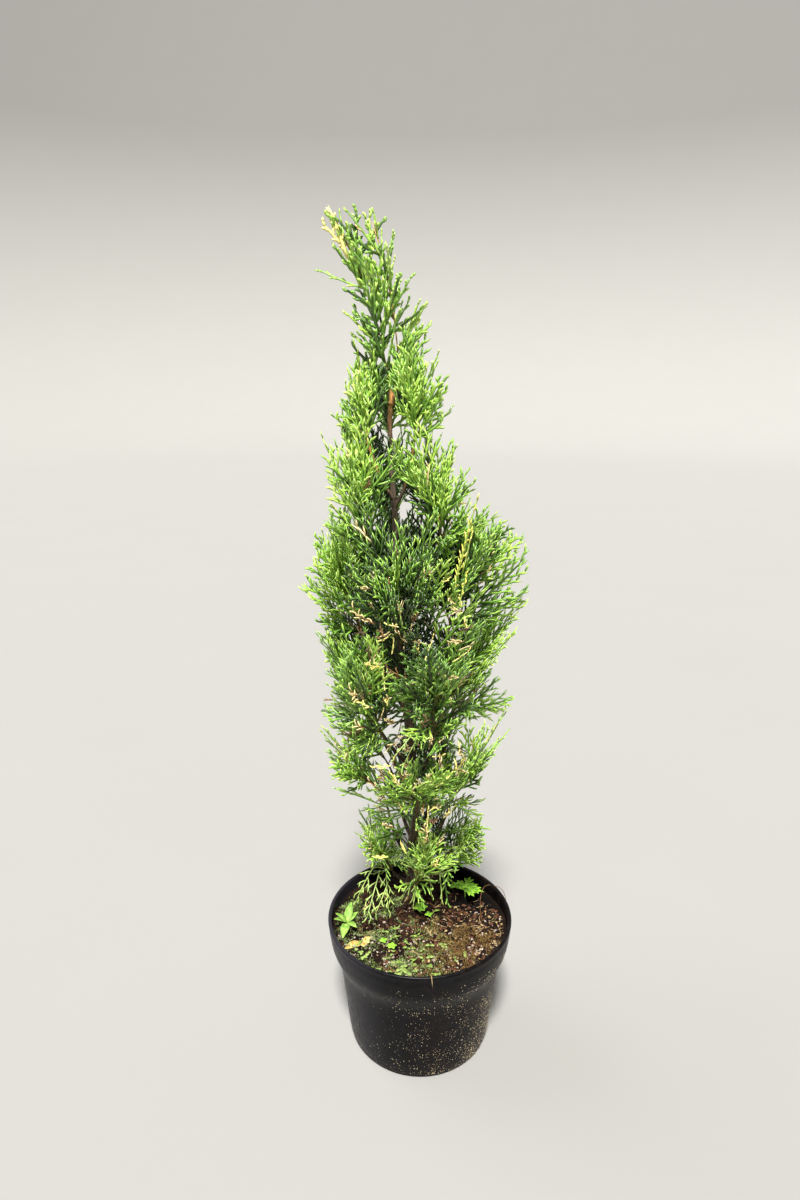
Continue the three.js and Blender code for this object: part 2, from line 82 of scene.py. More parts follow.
GAPS = [
    (-13, 512, 6, 20), (-14, 567, 5, 17), (-67, 514, 4, 8), (36, 301, 10, 15), (-30, 285, 9, 22),
    (-45, 252, 6, 22), (-13, 219, 6, 15), (63, 267, 13, 16), (55, 250, 9, 10), (44, 168, 12, 8),
]
TIER_KEYS = ("name", "floor", "ceiling", "boughs", "turn", "foot", "start", "out", "spray", "twigs")
TIERS = [dict(zip(TIER_KEYS, row)) for row in (
    ("low", 128, 218, 4, 6, 134, 146, 0.46, 60, 3),
    ("lower", 218, 306, 5, -16, 158, 222, 0.5, 70, 4),
    ("middle", 306, 394, 5, 14, 240, 308, 0.46, 80, 4),
    ("upper", 394, 480, 4, 4, 334, 395, 0.46, 80, 4),
    ("high", 480, 566, 3, -26, 428, 480, 0.4, 62, 4),
    ("top", 566, 634, 3, -30, 516, 564, 0.4, 54, 3),
)]
TIER_SLOPE = 0.28
# Share of the finer twigs that each tier carries, and the leading shoots: the lowest tiers are thin.
DENSITY = (0.75, 1.0, 1.15, 1.15, 1.0, 0.75, 0.3)
# Lean of the finer twigs in each tier, as a share of the main ones': they stand steeper higher up.
UPRIGHT = (1.05, 1.05, 0.95, 0.8, 0.7, 0.66, 0.6)
BOUGH = {"foot": 2.7, "tip": 1.15, "stagger": 7, "spread": 0.66, "lift": 0.3, "shrink": 0.42}
FORK = {"height": 598, "bend": (-19, 3, 616), "tip": (-20, 1, 632), "foot": 1.9}
LEADERS = [
    {"tip": (-71, -4, 737.5), "floor": 612, "ceiling": 740, "spray": 46, "twigs": 7, "turn": 180},
    {"tip": (-41, 0, 735), "floor": 612, "ceiling": 740, "spray": 44, "twigs": 6, "turn": 0},
]
LEADER_LEAN = (44, 18)
GROWTH = {
    "stem": 1.15, "crest": 0.62, "crest_foot": 0.93, "top_margin": 46,
    "first_twig": 0.08, "twig": 0.85, "twig_share": 0.26, "sink": 3, "twig_jitter": 0.3,
    "golden": 137.5, "turn_spread": 30, "lean": (60, 22), "lean_drop": 4, "lean_spread": 14,
    "smallest": 0.9, "largest": 1.2, "stem_bend": 0.5, "shortest": 24, "side_turn": 40,
    "side_foot": 0.35, "side_share": 0.85, "roll": 42, "other_rolls": (0, 36, -36, 72),
    "blade_lift": 0.4, "slack": 12, "soil_clearance": 6, "shrink": 0.9, "axis_start": 6.0, "limb_gap": 2.0,
}
SPRAY = {
    "root": 1.6, "width": 0.34, "notch": 0.075, "first": 0.05, "lobed": 0.68, "slope": 0.95,
    "lobe_arc": (0.38, 0.84), "notch_fade": 0.6, "stagger": 0.4, "long": 66, "ribs": (0.3, 0.55, 0.8),
}
JOINT_GAP = 0.3
# The source's generator of random numbers, and the seeds of its masses and of their finer twigs.
MULTIPLIER, MODULUS = 16807, 2147483647
SEEDS = {"tier": 1000, "mass": 37, "leaders": 9000, "finer": 401}


def linear(hex_value):
    """Linear colour from an sRGB hex value, with its alpha."""
    channels = [int(hex_value[i:i + 2], 16) / 255 for i in (1, 3, 5)]
    return [c / 12.92 if c <= 0.04045 else ((c + 0.055) / 1.055) ** 2.4 for c in channels] + [1.0]


def mix(low, high, share):
    return low + (high - low) * share


def clamp(value):
    return max(0.0, min(1.0, value))


def random_stream(seed):
    """Random numbers from a seed, the same stream as the source's."""
    state = seed

    def draw():
        nonlocal state
        state = (state * MULTIPLIER) % MODULUS
        return state / MODULUS

    return draw


def settings():
    return bpy.context.scene.potted_thuja


# Nodes and materials


def add_node(tree, kind, inputs=None, output=0, **options):
    """Add a node, set its options, fill or link its inputs by name or number, and give one of its outputs."""
    node = tree.nodes.new(f"ShaderNode{kind}")
    for name, value in options.items():
        setattr(node, name, value)
    for name, value in (inputs or {}).items():
        if isinstance(value, bpy.types.NodeSocket):
            tree.links.new(value, node.inputs[name])
        else:
            node.inputs[name].default_value = value
    return node.outputs[output] if node.outputs else None


def new_material(name):
    """An empty material, its node tree, and the object coordinates that its patterns follow."""
    material = bpy.data.materials.new(name)
    material.use_nodes = True
    tree = material.node_tree
    tree.nodes.clear()
    return material, tree, add_node(tree, "TexCoord", output="Object")


def mottle(tree, place, size_mm, detail, low, high, stretch=None):
    """Clouds about as wide as a real size in millimetres, and their share between a low and a high value."""
    if stretch:
        place = add_node(tree, "Mapping", {"Vector": place, "Scale": stretch})
    clouds = add_node(tree, "TexNoise", {"Vector": place, "Scale": 1.0 / (size_mm * MM), "Detail": detail})
    return clouds, add_node(tree, "MapRange", {"Value": clouds, "From Min": low, "From Max": high})


def add_surface(material, inputs, relief=None, depth_mm=0.0, strength=0.0):
    """Close a material with its shader, raised by a pattern to a real depth in millimetres."""
    tree = material.node_tree
    if relief is not None:
        bump = add_node(tree, "Bump", {"Height": relief, "Distance": depth_mm * MM, "Strength": strength})
        inputs = {**inputs, "Normal": bump}
    add_node(tree, "OutputMaterial", {"Surface": add_node(tree, "BsdfPrincipled", inputs)})
    return material


def black_polypropylene():
    """Injection-moulded polypropylene: deep black, satin, scuffed, with brown dust low on the right and a
    painted sheen on the left.
    """
    look = settings().pot
    material, tree, place = new_material("black_polypropylene")
    across = add_node(tree, "SeparateXYZ", {"Vector": place}, "X")
    height = add_node(tree, "SeparateXYZ", {"Vector": place}, "Z")
    grain = add_node(tree, "TexNoise", {"Vector": place, "Scale": 1.0 / (0.8 * MM), "Detail": 3.0})
    smear = mottle(tree, place, 5.0, 5.0, 0.45, 0.75, (1.0, 1.0, 0.8))[1]

    # Dust hangs in clouds, low down on the right, and in dots where soil has splashed.
    low = add_node(tree, "MapRange", {"Value": height, "From Min": 0.12, "From Max": 0.01, "To Min": 0.5})
    right = add_node(tree, "MapRange", {"Value": across, "From Min": -0.02, "From Max": 0.07})
    clouds = mottle(tree, place, 22.0, 4.0, 0.42, 0.68)[1]
    spots = add_node(tree, "TexVoronoi", {"Vector": place, "Scale": 1.0 / (2.4 * MM)})
    dots = add_node(tree, "MapRange", {"Value": spots, "From Min": 0.34, "From Max": 0.2})
    reach = add_node(tree, "Math", {0: low, 1: right}, operation="MULTIPLY")
    dusty = add_node(tree, "Math", {0: clouds, 1: reach, 2: 0.03}, operation="MULTIPLY_ADD")
    cover = add_node(tree, "Math", {0: dots, 1: 0.375, 2: 0.0525}, operation="MULTIPLY_ADD")
    dust = add_node(tree, "Math", {0: dusty, 1: cover}, operation="MULTIPLY")

    # Painted sheen: a grey painted reflection lightens the left side, under the dust.
    left = add_node(tree, "MapRange", {"Value": across, "From Min": -0.03, "From Max": -0.075, "To Max": 0.8})
    color = add_node(tree, "Mix", {0: smear, 6: look.plastic, 7: look.scuff}, 2, data_type="RGBA")
    color = add_node(tree, "Mix", {0: left, 6: color, 7: look.painted_sheen}, 2, data_type="RGBA")
    color = add_node(tree, "Mix", {0: dust, 6: color, 7: look.dust}, 2, data_type="RGBA")
    rough = add_node(tree, "Math", {0: smear, 1: 0.14, 2: 0.36}, operation="MULTIPLY_ADD")
    rough = add_node(tree, "Math", {0: dust, 1: 0.5, 2: rough}, operation="MULTIPLY_ADD")
    inputs = {"Base Color": color, "Roughness": rough, "IOR": 1.49, "Specular IOR Level": 0.12}
    return add_surface(material, inputs, grain, 0.06, 0.6)


def stringy_bark(name, turns_young):
    """Bark of a young trunk: grey-brown, matt and stringy below, warm orange-brown on young wood above."""
    look = settings().limbs
    material, tree, place = new_material(name)
    height = add_node(tree, "SeparateXYZ", {"Vector": place}, "Z")
    strands, raised = mottle(tree, place, 2.2, 6.0, 0.35, 0.65, (1.0, 1.0, 0.14))
    drawn_out = add_node(tree, "Mapping", {"Vector": place, "Scale": (1.0, 1.0, 0.4)})
    patches = add_node(tree, "TexNoise", {"Vector": drawn_out, "Scale": 1.0 / (9.0 * MM), "Detail": 3.0})
    climb = add_node(tree, "Math", {0: patches, 1: 0.03, 2: height}, operation="MULTIPLY_ADD")
    young = add_node(tree, "MapRange", {
        "Value": climb, "From Min": turns_young * MM, "From Max": (turns_young + 30) * MM,
    })
    below = add_node(tree, "Mix", {0: raised, 6: look.bark_dark, 7: look.bark_grey}, 2, data_type="RGBA")
    above = add_node(tree, "Mix", {0: raised, 6: look.bark_brown, 7: look.bark_orange}, 2, data_type="RGBA")
    color = add_node(tree, "Mix", {0: young, 6: below, 7: above}, 2, data_type="RGBA")
    return add_surface(material, {"Base Color": color, "Roughness": 0.86}, strands, 0.5, 0.8)


def scale_leaf(name, dark, light):
    """Living scale leaves: waxy and close-set along each shoot, lighter and darker from shoot to shoot."""
    material, tree, place = new_material(name)
    shoots = mottle(tree, place, 14.0, 2.0, 0.35, 0.65)[1]
    scales, raised = mottle(tree, place, 1.1, 1.0, 0.3, 0.7)
    tone = add_node(tree, "Math", {0: raised, 1: 0.35, 2: shoots}, operation="MULTIPLY_ADD")
    tone = add_node(tree, "MapRange", {"Value": tone, "From Min": 0.0, "From Max": 1.35})
    color = add_node(tree, "Mix", {0: tone, 6: dark, 7: light}, 2, data_type="RGBA")
    inputs = {"Base Color": color, "Roughness": 0.4, "Specular IOR Level": 0.8}
    return add_surface(material, inputs, scales, 0.25, 0.7)


def moist_peat():
    """Moist potting peat: very dark brown and matt, with lighter fibres, and painted near black low down, as
    wet peat in painted shade in its hollows.
    """
    look = settings().soil
    material, tree, place = new_material("moist_peat")
    height = add_node(tree, "SeparateXYZ", {"Vector": place}, "Z")
    crumbs, lumps = mottle(tree, place, 2.4, 6.0, 0.35, 0.68)
    patches = mottle(tree, place, 26.0, 3.0, 0.4, 0.62)[1]
    fibres = add_node(tree, "MapRange", {"Value": crumbs, "From Min": 0.42, "From Max": 0.6})
    warm = add_node(tree, "Math", {0: patches, 1: fibres}, operation="MULTIPLY")
    # Painted shade: the mask dry is 1 high up and falls to 0 low down, where the peat is painted near black
    # as wet peat in painted shade.
    dry = add_node(tree, "MapRange", {"Value": height, "From Min": 0.109, "From Max": 0.1175})
    color = add_node(tree, "Mix", {0: lumps, 6: look.peat_dark, 7: look.peat_brown}, 2, data_type="RGBA")
    color = add_node(tree, "Mix", {0: warm, 6: color, 7: look.peat_warm}, 2, data_type="RGBA")
    color = add_node(tree, "Mix", {0: dry, 6: look.wet_peat_and_shade, 7: color}, 2, data_type="RGBA")
    inputs = {"Base Color": color, "Roughness": 0.93, "Specular IOR Level": 0.1}
    return add_surface(material, inputs, crumbs, 1.2, 0.9)


def plain_matter(name, dark, light, size_mm, roughness=0.8, depth_mm=0.2):
    """A matt natural stuff, such as bark crumbs, moss or a weed's leaf, mottled between two colours."""
    material, tree, place = new_material(name)
    relief, tone = mottle(tree, place, size_mm, 4.0, 0.32, 0.68)
    color = add_node(tree, "Mix", {0: tone, 6: dark, 7: light}, 2, data_type="RGBA")
    inputs = {"Base Color": color, "Roughness": roughness, "Specular IOR Level": 0.25}
    return add_surface(material, inputs, relief, depth_mm, 0.8)


def studio_paper():
    """Seamless background paper: pale, matt and even."""
    paper = settings().stage.paper
    material, tree, place = new_material("studio_paper")
    fibre = add_node(tree, "TexNoise", {"Vector": place, "Scale": 1.0 / (300.0 * MM), "Detail": 2.0})
    shade = [channel * 0.97 for channel in paper]
    color = add_node(tree, "Mix", {0: fibre, 6: shade, 7: paper}, 2, data_type="RGBA")
    return add_surface(material, {"Base Color": color, "Roughness": 0.9})


# Curves and the growth rule, as in the source


class Spline:
    """Catmull-Rom curve through points."""

    def __init__(self, points):
        self.points = [Vector(point) for point in points]

    def at(self, share):
        points = self.points
        place = share * (len(points) - 1)
        index = min(int(place), len(points) - 2)
        t = place - index
        first, second = points[index], points[index + 1]
        before = points[index - 1] if index > 0 else 2 * points[0] - points[1]
        after = points[index + 2] if index + 2 < len(points) else 2 * points[-1] - points[-2]
        slope_in, slope_out = (second - before) * 0.5, (after - first) * 0.5
        return (
            first * (2 * t**3 - 3 * t**2 + 1) + slope_in * (t**3 - 2 * t**2 + t)
            + second * (-2 * t**3 + 3 * t**2) + slope_out * (t**3 - t**2)
        )


class Bezier:
    """Quadratic curve from a foot over a bend to a tip."""

    def __init__(self, foot, bend, tip):
        self.foot, self.bend, self.tip = Vector(foot), Vector(bend), Vector(tip)

    def at(self, t):
        return self.foot * (1 - t) ** 2 + self.bend * (2 * t * (1 - t)) + self.tip * t**2


def tangent(curve, share, step=1e-4):
    return (curve.at(min(share + step, 1.0)) - curve.at(max(share - step, 0.0))).normalized()


TRUNK_CURVE = Spline(TRUNK_LINE)
TRUNK_SAMPLES = [TRUNK_CURVE.at(index / 240) for index in range(241)]


def trunk_at(height):
    """The trunk's middle at a height, carried straight up past its ends."""
    samples = TRUNK_SAMPLES
    if height <= samples[0].z or height > samples[-1].z:
        end = samples[0] if height <= samples[0].z else samples[-1]
        return Vector((end.x, end.y, height))
    above = next(index for index, sample in enumerate(samples) if sample.z >= height)
    low, high = samples[above - 1], samples[above]
    return low.lerp(high, (height - low.z) / (high.z - low.z))


def trunk_radius(share):
    height = TRUNK_CURVE.at(share).z - TRUNK_LINE[0][2]
    flare = TRUNK["flare"] * math.exp(-height / TRUNK["flare_height"])
    return mix(TRUNK["foot"], TRUNK["tip"], share) + flare


def crown_at(height):
    """The crown's middle, depth middle, half width and half depth at a height."""
    last = len(OUTLINE) - 1
    row = next((index for index, entry in enumerate(OUTLINE) if entry[0] >= height), last)
    low, high = OUTLINE[max(row, 1) - 1], OUTLINE[max(row, 1)]
    share = clamp((height - low[0]) / (high[0] - low[0]))
    left, right = mix(low[1], high[1], share), mix(low[2], high[2], share)
    half = (right - left) / 2
    return (left + right) / 2, trunk_at(height).y, half, half * DEPTH_SHARE


def crown_depth(place):
    """0 on the crown's axis and 1 on its outline."""
    middle, depth_middle, half, half_depth = crown_at(place.z)
    return math.hypot((place.x - middle) / half, (place.y - depth_middle) / half_depth)


def inside_crown(place):
    return place.z <= OUTLINE[-1][0] and crown_depth(place) <= 1


def outward(degrees):
    return Vector((math.cos(math.radians(degrees)), math.sin(math.radians(degrees)), 0.0))


def crown_reach(height, degrees):
    """How far the crown reaches from the trunk, level, at a height and in a direction."""
    heading, start, reach = outward(degrees), trunk_at(height), 0
    while inside_crown(start + heading * (reach + 1)):
        reach += 1
    return reach


def inside_cell(place, cell, slack):
    """Whether a place is in a mass's sector round the trunk, between its two cones."""
    middle = trunk_at(place.z)
    away = math.hypot(place.x - middle.x, place.y - middle.y)
    level = place.z - TIER_SLOPE * away
    if level < cell["floor"] - slack or level > cell["ceiling"] + slack:
        return False
    angle = math.degrees(math.atan2(place.y - middle.y, place.x - middle.x))
    off = abs((angle - cell["turn"] + 180) % 360 - 180) - cell["half_turn"]
    return off <= 0 or away * math.sin(math.radians(min(off, 90))) <= slack


def above_ground(place):
    in_pot = math.hypot(place.x, place.y) < POT["waist"]
    return place.z > (SOIL["heap"] if in_pot else POT["height"]) + GROWTH["soil_clearance"]


def seen_in_gap(place, size):
    """Whether a place, seen from the viewpoint, stands in a gap of the crown at a share of the gap's size."""
    share = -VIEWPOINT.y / (place.y - VIEWPOINT.y)
    x, z = mix(VIEWPOINT.x, place.x, share), mix(VIEWPOINT.z, place.z, share)
    return any(math.hypot((x - gap_x) / wide, (z - gap_z) / high) < size for gap_x, gap_z, wide, high in GAPS)


def fits_cell(places, cell):
    """Whether places stay in the crown and in a mass's cell, off the ground and out of the gaps."""
    return all(
        inside_crown(place) and inside_cell(place, cell, cell["slack"]) and above_ground(place)
        and not seen_in_gap(place, cell["gap_size"])
        for place in places
    )


def spray_points(length, pairs):
    """Outline of a whole spray along its own axis, and places along its rachis."""
    pitch = length * SPRAY["lobed"] / pairs

    def side(sign, shift):
        edge = [(0.0, sign * SPRAY["root"])]
        for lobe in range(pairs):
            foot = length * SPRAY["first"] + pitch * (lobe + shift)
            reach = length * SPRAY["width"] * math.sin(math.pi * mix(*SPRAY["lobe_arc"], lobe / pairs))
            notch = length * SPRAY["notch"] * (1 - SPRAY["notch_fade"] * (lobe / pairs))
            edge.append((foot + reach * SPRAY["slope"], sign * reach))
            edge.append((foot + pitch + notch, sign * notch))
        return edge

    ribs = [(length * share, 0.0) for share in SPRAY["ribs"]]
    return [*side(-1, 0), (length, 0.0), *reversed(side(1, SPRAY["stagger"])), *ribs]


def spray_axes(heading, away, roll):
    """A spray's own axes: along it, across its blade, and out of its blade."""
    lift = UP + away * GROWTH["blade_lift"]
    across = (lift - heading * lift.dot(heading)).normalized()
    across.rotate(Quaternion(heading, math.radians(roll)))
    return heading, across, heading.cross(across)


def clear_of_limbs(foot, heading, length, limbs):
    """Whether a spray's own axis stays clear of the trunk and the boughs."""
    reach = np.linspace(GROWTH["axis_start"], length, 8)[:, None]
    line = np.array(foot)[None, :] + reach * np.array(heading)[None, :]
    apart = np.linalg.norm(line[:, None, :] - limbs[None, :, :3], axis=2) - limbs[None, :, 3]
    return apart.min() > GROWTH["limb_gap"]


def grow_spray(sprays, foot, heading, away, roll, wanted, cell, limbs, shortest):
    """The longest spray from a foot that stays in the cell and clear of the limbs."""
    length = wanted
    while length >= shortest:
        pairs = 3 if length > SPRAY["long"] else 2
        for other_roll in GROWTH["other_rolls"]:
            axes = spray_axes(heading, away, roll + other_roll)
            places = (foot + heading * along + axes[1] * off for along, off in spray_points(length, pairs))
            if fits_cell(places, cell) and clear_of_limbs(foot, heading, length, limbs):
                sprays.append((foot, axes, length))
                return
        length *= GROWTH["shrink"]


def grow_mass(cell, limbs, twigs, seed, share, shortest, first, upright=1.0):
    """Twigs that turn round a mass's stem, and the sprays that they carry.

    With the source's count of twigs, seed and size it gives the source's own sprays. More and smaller
    twigs from another seed carry the same rule on to the plant's finer growth.
    """
    random = random_stream(seed)

    def spread(width):
        return width * (random() - 0.5)

    stem, away = cell["stem"], outward(cell["turn"])
    twig_lines, sprays = [], []
    for index in range(twigs):
        along = first + (1 - first) * ((index + GROWTH["twig_jitter"] * random()) / twigs)
        turn = cell["turn"] + index * GROWTH["golden"] + spread(GROWTH["turn_spread"])
        lean = math.radians(mix(*cell["lean"], along) * upright + spread(GROWTH["lean_spread"]))
        roll, side_roll = spread(2 * GROWTH["roll"]), spread(2 * GROWTH["roll"])
        size = cell["spray"] * share * mix(GROWTH["smallest"], GROWTH["largest"], random())
        foot = stem.at(along)
        heading = (tangent(stem, along) * math.cos(lean) + outward(turn) * math.sin(lean)).normalized()
        tip = foot + heading * size * GROWTH["twig_share"]
        if not fits_cell([tip], cell):
            continue
        side_heading = heading.copy()
        swing = GROWTH["side_turn"] if index % 2 else -GROWTH["side_turn"]
        side_heading.rotate(Quaternion(spray_axes(heading, away, side_roll)[2], math.radians(swing)))
        twig_lines.append((foot, tip))
        grow_spray(sprays, tip - heading * GROWTH["sink"], heading, away, roll, size, cell, limbs, shortest)
        grow_spray(sprays, foot.lerp(tip, GROWTH["side_foot"]), side_heading, away, side_roll,
                   size * GROWTH["side_share"], cell, limbs, shortest)
    grow_spray(sprays, stem.at(GROWTH["crest_foot"]), tangent(stem, 1.0), away, spread(2 * GROWTH["roll"]),
               cell["spray"] * share, cell, limbs, shortest)
    return twig_lines, sprays


def stem_curve(limb, top):
    """A mass's stem: on from its limb's tip to the mass's top."""
    heading = tangent(limb, 1.0)
    start = limb.at(1.0) + heading * JOINT_GAP
    top = Vector(top)
    return Bezier(start, start + heading * (top - start).length * GROWTH["stem_bend"], top)


def mass_cell(limb, top, turn, half_turn, rule, lean, level, seed):
    """One mass: the space that it may fill, how it grows, and the stem that it grows on."""
    return {
        "stem": stem_curve(limb, top), "turn": turn, "half_turn": half_turn, "floor": rule["floor"],
        "ceiling": rule["ceiling"], "spray": rule["spray"], "twigs": rule["twigs"], "lean": lean,
        "seed": seed, "density": DENSITY[level], "upright": UPRIGHT[level],
        "slack": GROWTH["slack"], "gap_size": 1.0,
    }


def plan_limbs():
    """Every bough with its radii, and every mass's cell with its stem."""
    boughs, cells = [], []
    for level, tier in enumerate(TIERS):
        shrink = 1 - BOUGH["shrink"] * level / (len(TIERS) - 1)
        lean = (GROWTH["lean"][0] - GROWTH["lean_drop"] * level, GROWTH["lean"][1])
        for index in range(tier["boughs"]):
            turn = tier["turn"] + 360 / tier["boughs"] * index
            away = tier["out"] * crown_reach(tier["start"], turn)
            tip = trunk_at(tier["start"]) + outward(turn) * away
            tip.z += TIER_SLOPE * away
            foot = trunk_at(tier["foot"] + BOUGH["stagger"] * ((index * 2) % tier["boughs"]))
            bend = foot + outward(turn) * away * BOUGH["spread"]
            bend.z = mix(foot.z, tip.z, BOUGH["lift"])
            curve = Bezier(foot, bend, tip)
            boughs.append((curve, BOUGH["foot"] * shrink, BOUGH["tip"]))
            top_height = tier["ceiling"] + TIER_SLOPE * GROWTH["crest"] * crown_reach(tier["ceiling"], turn)
            top = trunk_at(top_height) + outward(turn) * GROWTH["crest"] * crown_reach(top_height, turn)
            top.z -= GROWTH["top_margin"]
            seed = SEEDS["tier"] * (level + 1) + SEEDS["mass"] * (index + 1)
            cells.append(mass_cell(curve, top, turn, 180 / tier["boughs"], tier, lean, level, seed))
    fork = Bezier(trunk_at(FORK["height"]), FORK["bend"], FORK["tip"])
    boughs.append((fork, FORK["foot"], TRUNK["tip"]))
    for index, (leader, limb) in enumerate(zip(LEADERS, (TRUNK_CURVE, fork))):
        seed = SEEDS["leaders"] + SEEDS["mass"] * (index + 1)
        cells.append(mass_cell(limb, leader["tip"], leader["turn"], 180, leader, LEADER_LEAN, -1, seed))
    return boughs, cells


def limb_samples(boughs):
    """Points along the trunk and the boughs with their radii, for keeping sprays clear."""
    rows = [(*TRUNK_CURVE.at(s / 160), trunk_radius(s / 160)) for s in range(161)]
    for curve, foot, tip in boughs:
        rows += [(*curve.at(s / 20), mix(foot, tip, s / 20)) for s in range(20)]
    return np.array(rows)


# Pieces from arrays: joined meshes of many small shoots


# More than the vertices of any bmesh piece.
RANK_STEP = 100000


def face_rank(face):
    """A face's rank by its corners: spinning and extruding give faces in another order in each run."""
    first, second, third = sorted(vert.index for vert in face.verts)[:3]
    return (first * RANK_STEP + second) * RANK_STEP + third


def new_object(name, shape, material, smooth=True):
    """A mesh object at the origin, from a bmesh or from arrays of vertices and triangles, in millimetres."""
    mesh = bpy.data.meshes.new(name)
    if isinstance(shape, bmesh.types.BMesh):
        shape.transform(Matrix.Scale(MM, 4))
        shape.verts.index_update()
        shape.faces.sort(key=face_rank)
        shape.to_mesh(mesh)
        shape.free()
    else:
        vertices, triangles = shape
        mesh.vertices.add(len(vertices))
        mesh.vertices.foreach_set("co", (np.asarray(vertices) * MM).astype(np.float32).ravel())
        mesh.loops.add(len(triangles) * 3)
        mesh.loops.foreach_set("vertex_index", np.asarray(triangles, dtype=np.int32).ravel())
        mesh.polygons.add(len(triangles))
        mesh.polygons.foreach_set("loop_start", np.arange(0, len(triangles) * 3, 3, dtype=np.int32))
        mesh.update(calc_edges=True)
        mesh.validate()
    mesh.materials.append(material)
    mesh.polygons.foreach_set("use_smooth", [smooth] * len(mesh.polygons))
    obj = bpy.data.objects.new(name, mesh)
    bpy.context.collection.objects.link(obj)
    return obj


def add_piece(name, shape, material, nodes=(), smooth=True):
    """A visible piece: it rides on the root body and may stand for CAD nodes."""
    obj = new_object(name, shape, material, smooth)
    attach(obj, "root")
    if nodes:
        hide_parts(*nodes)


# Widths of a shoot from ring to ring, as shares, by its count of rings.
SHOOT_WIDTHS = {6: (0.9, 1.0, 1.0, 0.95, 0.85, 0.7), 3: (0.75, 1.0, 0.9), 2: (0.8, 1.0)}
MOST_TRIANGLES = 190000


def shoot_arrays(shoots, rings):
    """Vertices and triangles of many flat four-sided shoots, each a bent spindle closed at both ends.

    Each shoot is its foot, bend, tip, face normal, half width and half thickness.
    """
    data = np.array([
        [*foot, *bend, *tip, *normal, width, thick] for foot, bend, tip, normal, width, thick in shoots
    ])
    foot, bend, tip, normal = data[:, 0:3], data[:, 3:6], data[:, 6:9], data[:, 9:12]
    width, thick = data[:, 12:13], data[:, 13:14]
    count = len(data)
    layers = []
    for ring, share in enumerate(SHOOT_WIDTHS[rings]):
        t = ring / rings
        middle = foot * (1 - t) ** 2 + bend * (2 * t * (1 - t)) + tip * t**2
        along = (bend - foot) * (1 - t) + (tip - bend) * t
        side = np.cross(normal, along)
        side /= np.linalg.norm(side, axis=1, keepdims=True) + 1e-9
        face = np.cross(along, side)
        face /= np.linalg.norm(face, axis=1, keepdims=True) + 1e-9
        for across, out in ((1, 0), (0, 1), (-1, 0), (0, -1)):
            layers.append(middle + side * (across * share * width) + face * (out * share * thick))
    layers.append(tip)
    vertices = np.stack(layers, axis=1)
    size = 4 * rings + 1
    pattern = []
    for ring in range(rings - 1):
        for corner in range(4):
            a, b = ring * 4 + corner, ring * 4 + (corner + 1) % 4
            pattern += [(a, b, b + 4), (a, b + 4, a + 4)]
    top = (rings - 1) * 4
    pattern += [(top + corner, top + (corner + 1) % 4, size - 1) for corner in range(4)]
    pattern += [(0, 2, 1), (0, 3, 2)]
    offsets = (np.arange(count) * size)[:, None, None]
    triangles = np.array(pattern)[None, :, :] + offsets
    return vertices.reshape(-1, 3), triangles.reshape(-1, 3)


def joined(parts):
    """Several vertex and triangle arrays as one."""
    vertices, triangles, start = [], [], 0
    for part_vertices, part_triangles in parts:
        vertices.append(part_vertices)
        triangles.append(part_triangles + start)
        start += len(part_vertices)
    return np.concatenate(vertices), np.concatenate(triangles)


def shoot_pieces(name, shoots_by_rings, material, nodes=()):
    """Joined pieces of shoots, each with fewer triangles than a piece may have."""
    groups, count = [[]], 0
    for rings, shoots in sorted(shoots_by_rings.items()):
        each = 8 * (rings - 1) + 6
        step = MOST_TRIANGLES // each
        for first in range(0, len(shoots), step):
            block = shoots[first:first + step]
            if groups[-1] and count + len(block) * each > MOST_TRIANGLES:
                groups.append([])
                count = 0
            groups[-1].append(shoot_arrays(block, rings))
            count += len(block) * each
    for number, parts in enumerate(groups, 1):
        add_piece(f"{name}_{number}", joined(parts), material, nodes)


class ShootBox:
    """Shoots gathered by colour and by how many rings they have."""

    def __init__(self):
        self.by_color = {}

    def add(self, color, rings, foot, bend, tip, normal, width, thick):
        shoots = self.by_color.setdefault(color, {}).setdefault(rings, [])
        shoots.append((foot, bend, tip, normal, width, thick))


# A spray's colour, and the colours one step lighter and darker.
LIGHTER = {"shade": "deep", "deep": "mid", "mid": "fresh", "fresh": "tips", "yellow": "cream"}
DARKER = {"deep": "shade", "mid": "deep", "fresh": "mid", "tips": "fresh", "yellow": "tips", "straw": "brown"}
# Hanging, yellow and dead sprays, which are slimmer and keep one colour.
PLAIN_COLORS = ("low", "yellow", "cream", "straw", "brown")
LEAF_COLORS = ("shade", "deep", "mid", "fresh", "tips", *PLAIN_COLORS)

# Form of a grown spray: heights and least sizes in millimetres, angles in degrees, and otherwise shares.
CROWN_TOP = 640
LEADING = {"from": 560, "over": 80, "stout": 1.3}
RACHIS = {"bow": 0.2, "width": 1.1, "thick": 1.3, "slim_stem": 0.8, "slim_width": 0.68}
BRANCHLET = {
    "covered": 0.86, "fewest": 4, "stagger": (0.3, 0.4), "span": (0.08, 0.95), "grown": (0.55, 2.6),
    "reach": (0.52, 0.2), "spread": (0.7, 1.15), "least": 4.5, "angle": (42, 23), "angle_spread": 10,
    "leaves": 1.2, "ends": 0.84, "swing": 0.24, "lift": 0.05,
}
SIDE_SHOOT = {
    "most": 4, "stagger": (0.2, 0.6), "span": (0.28, 0.86), "reach": (0.44, 0.26), "spread": (0.75, 1.3),
    "least": 2.0, "turn": (20, 12), "width": 0.92, "lift": 0.15,
}


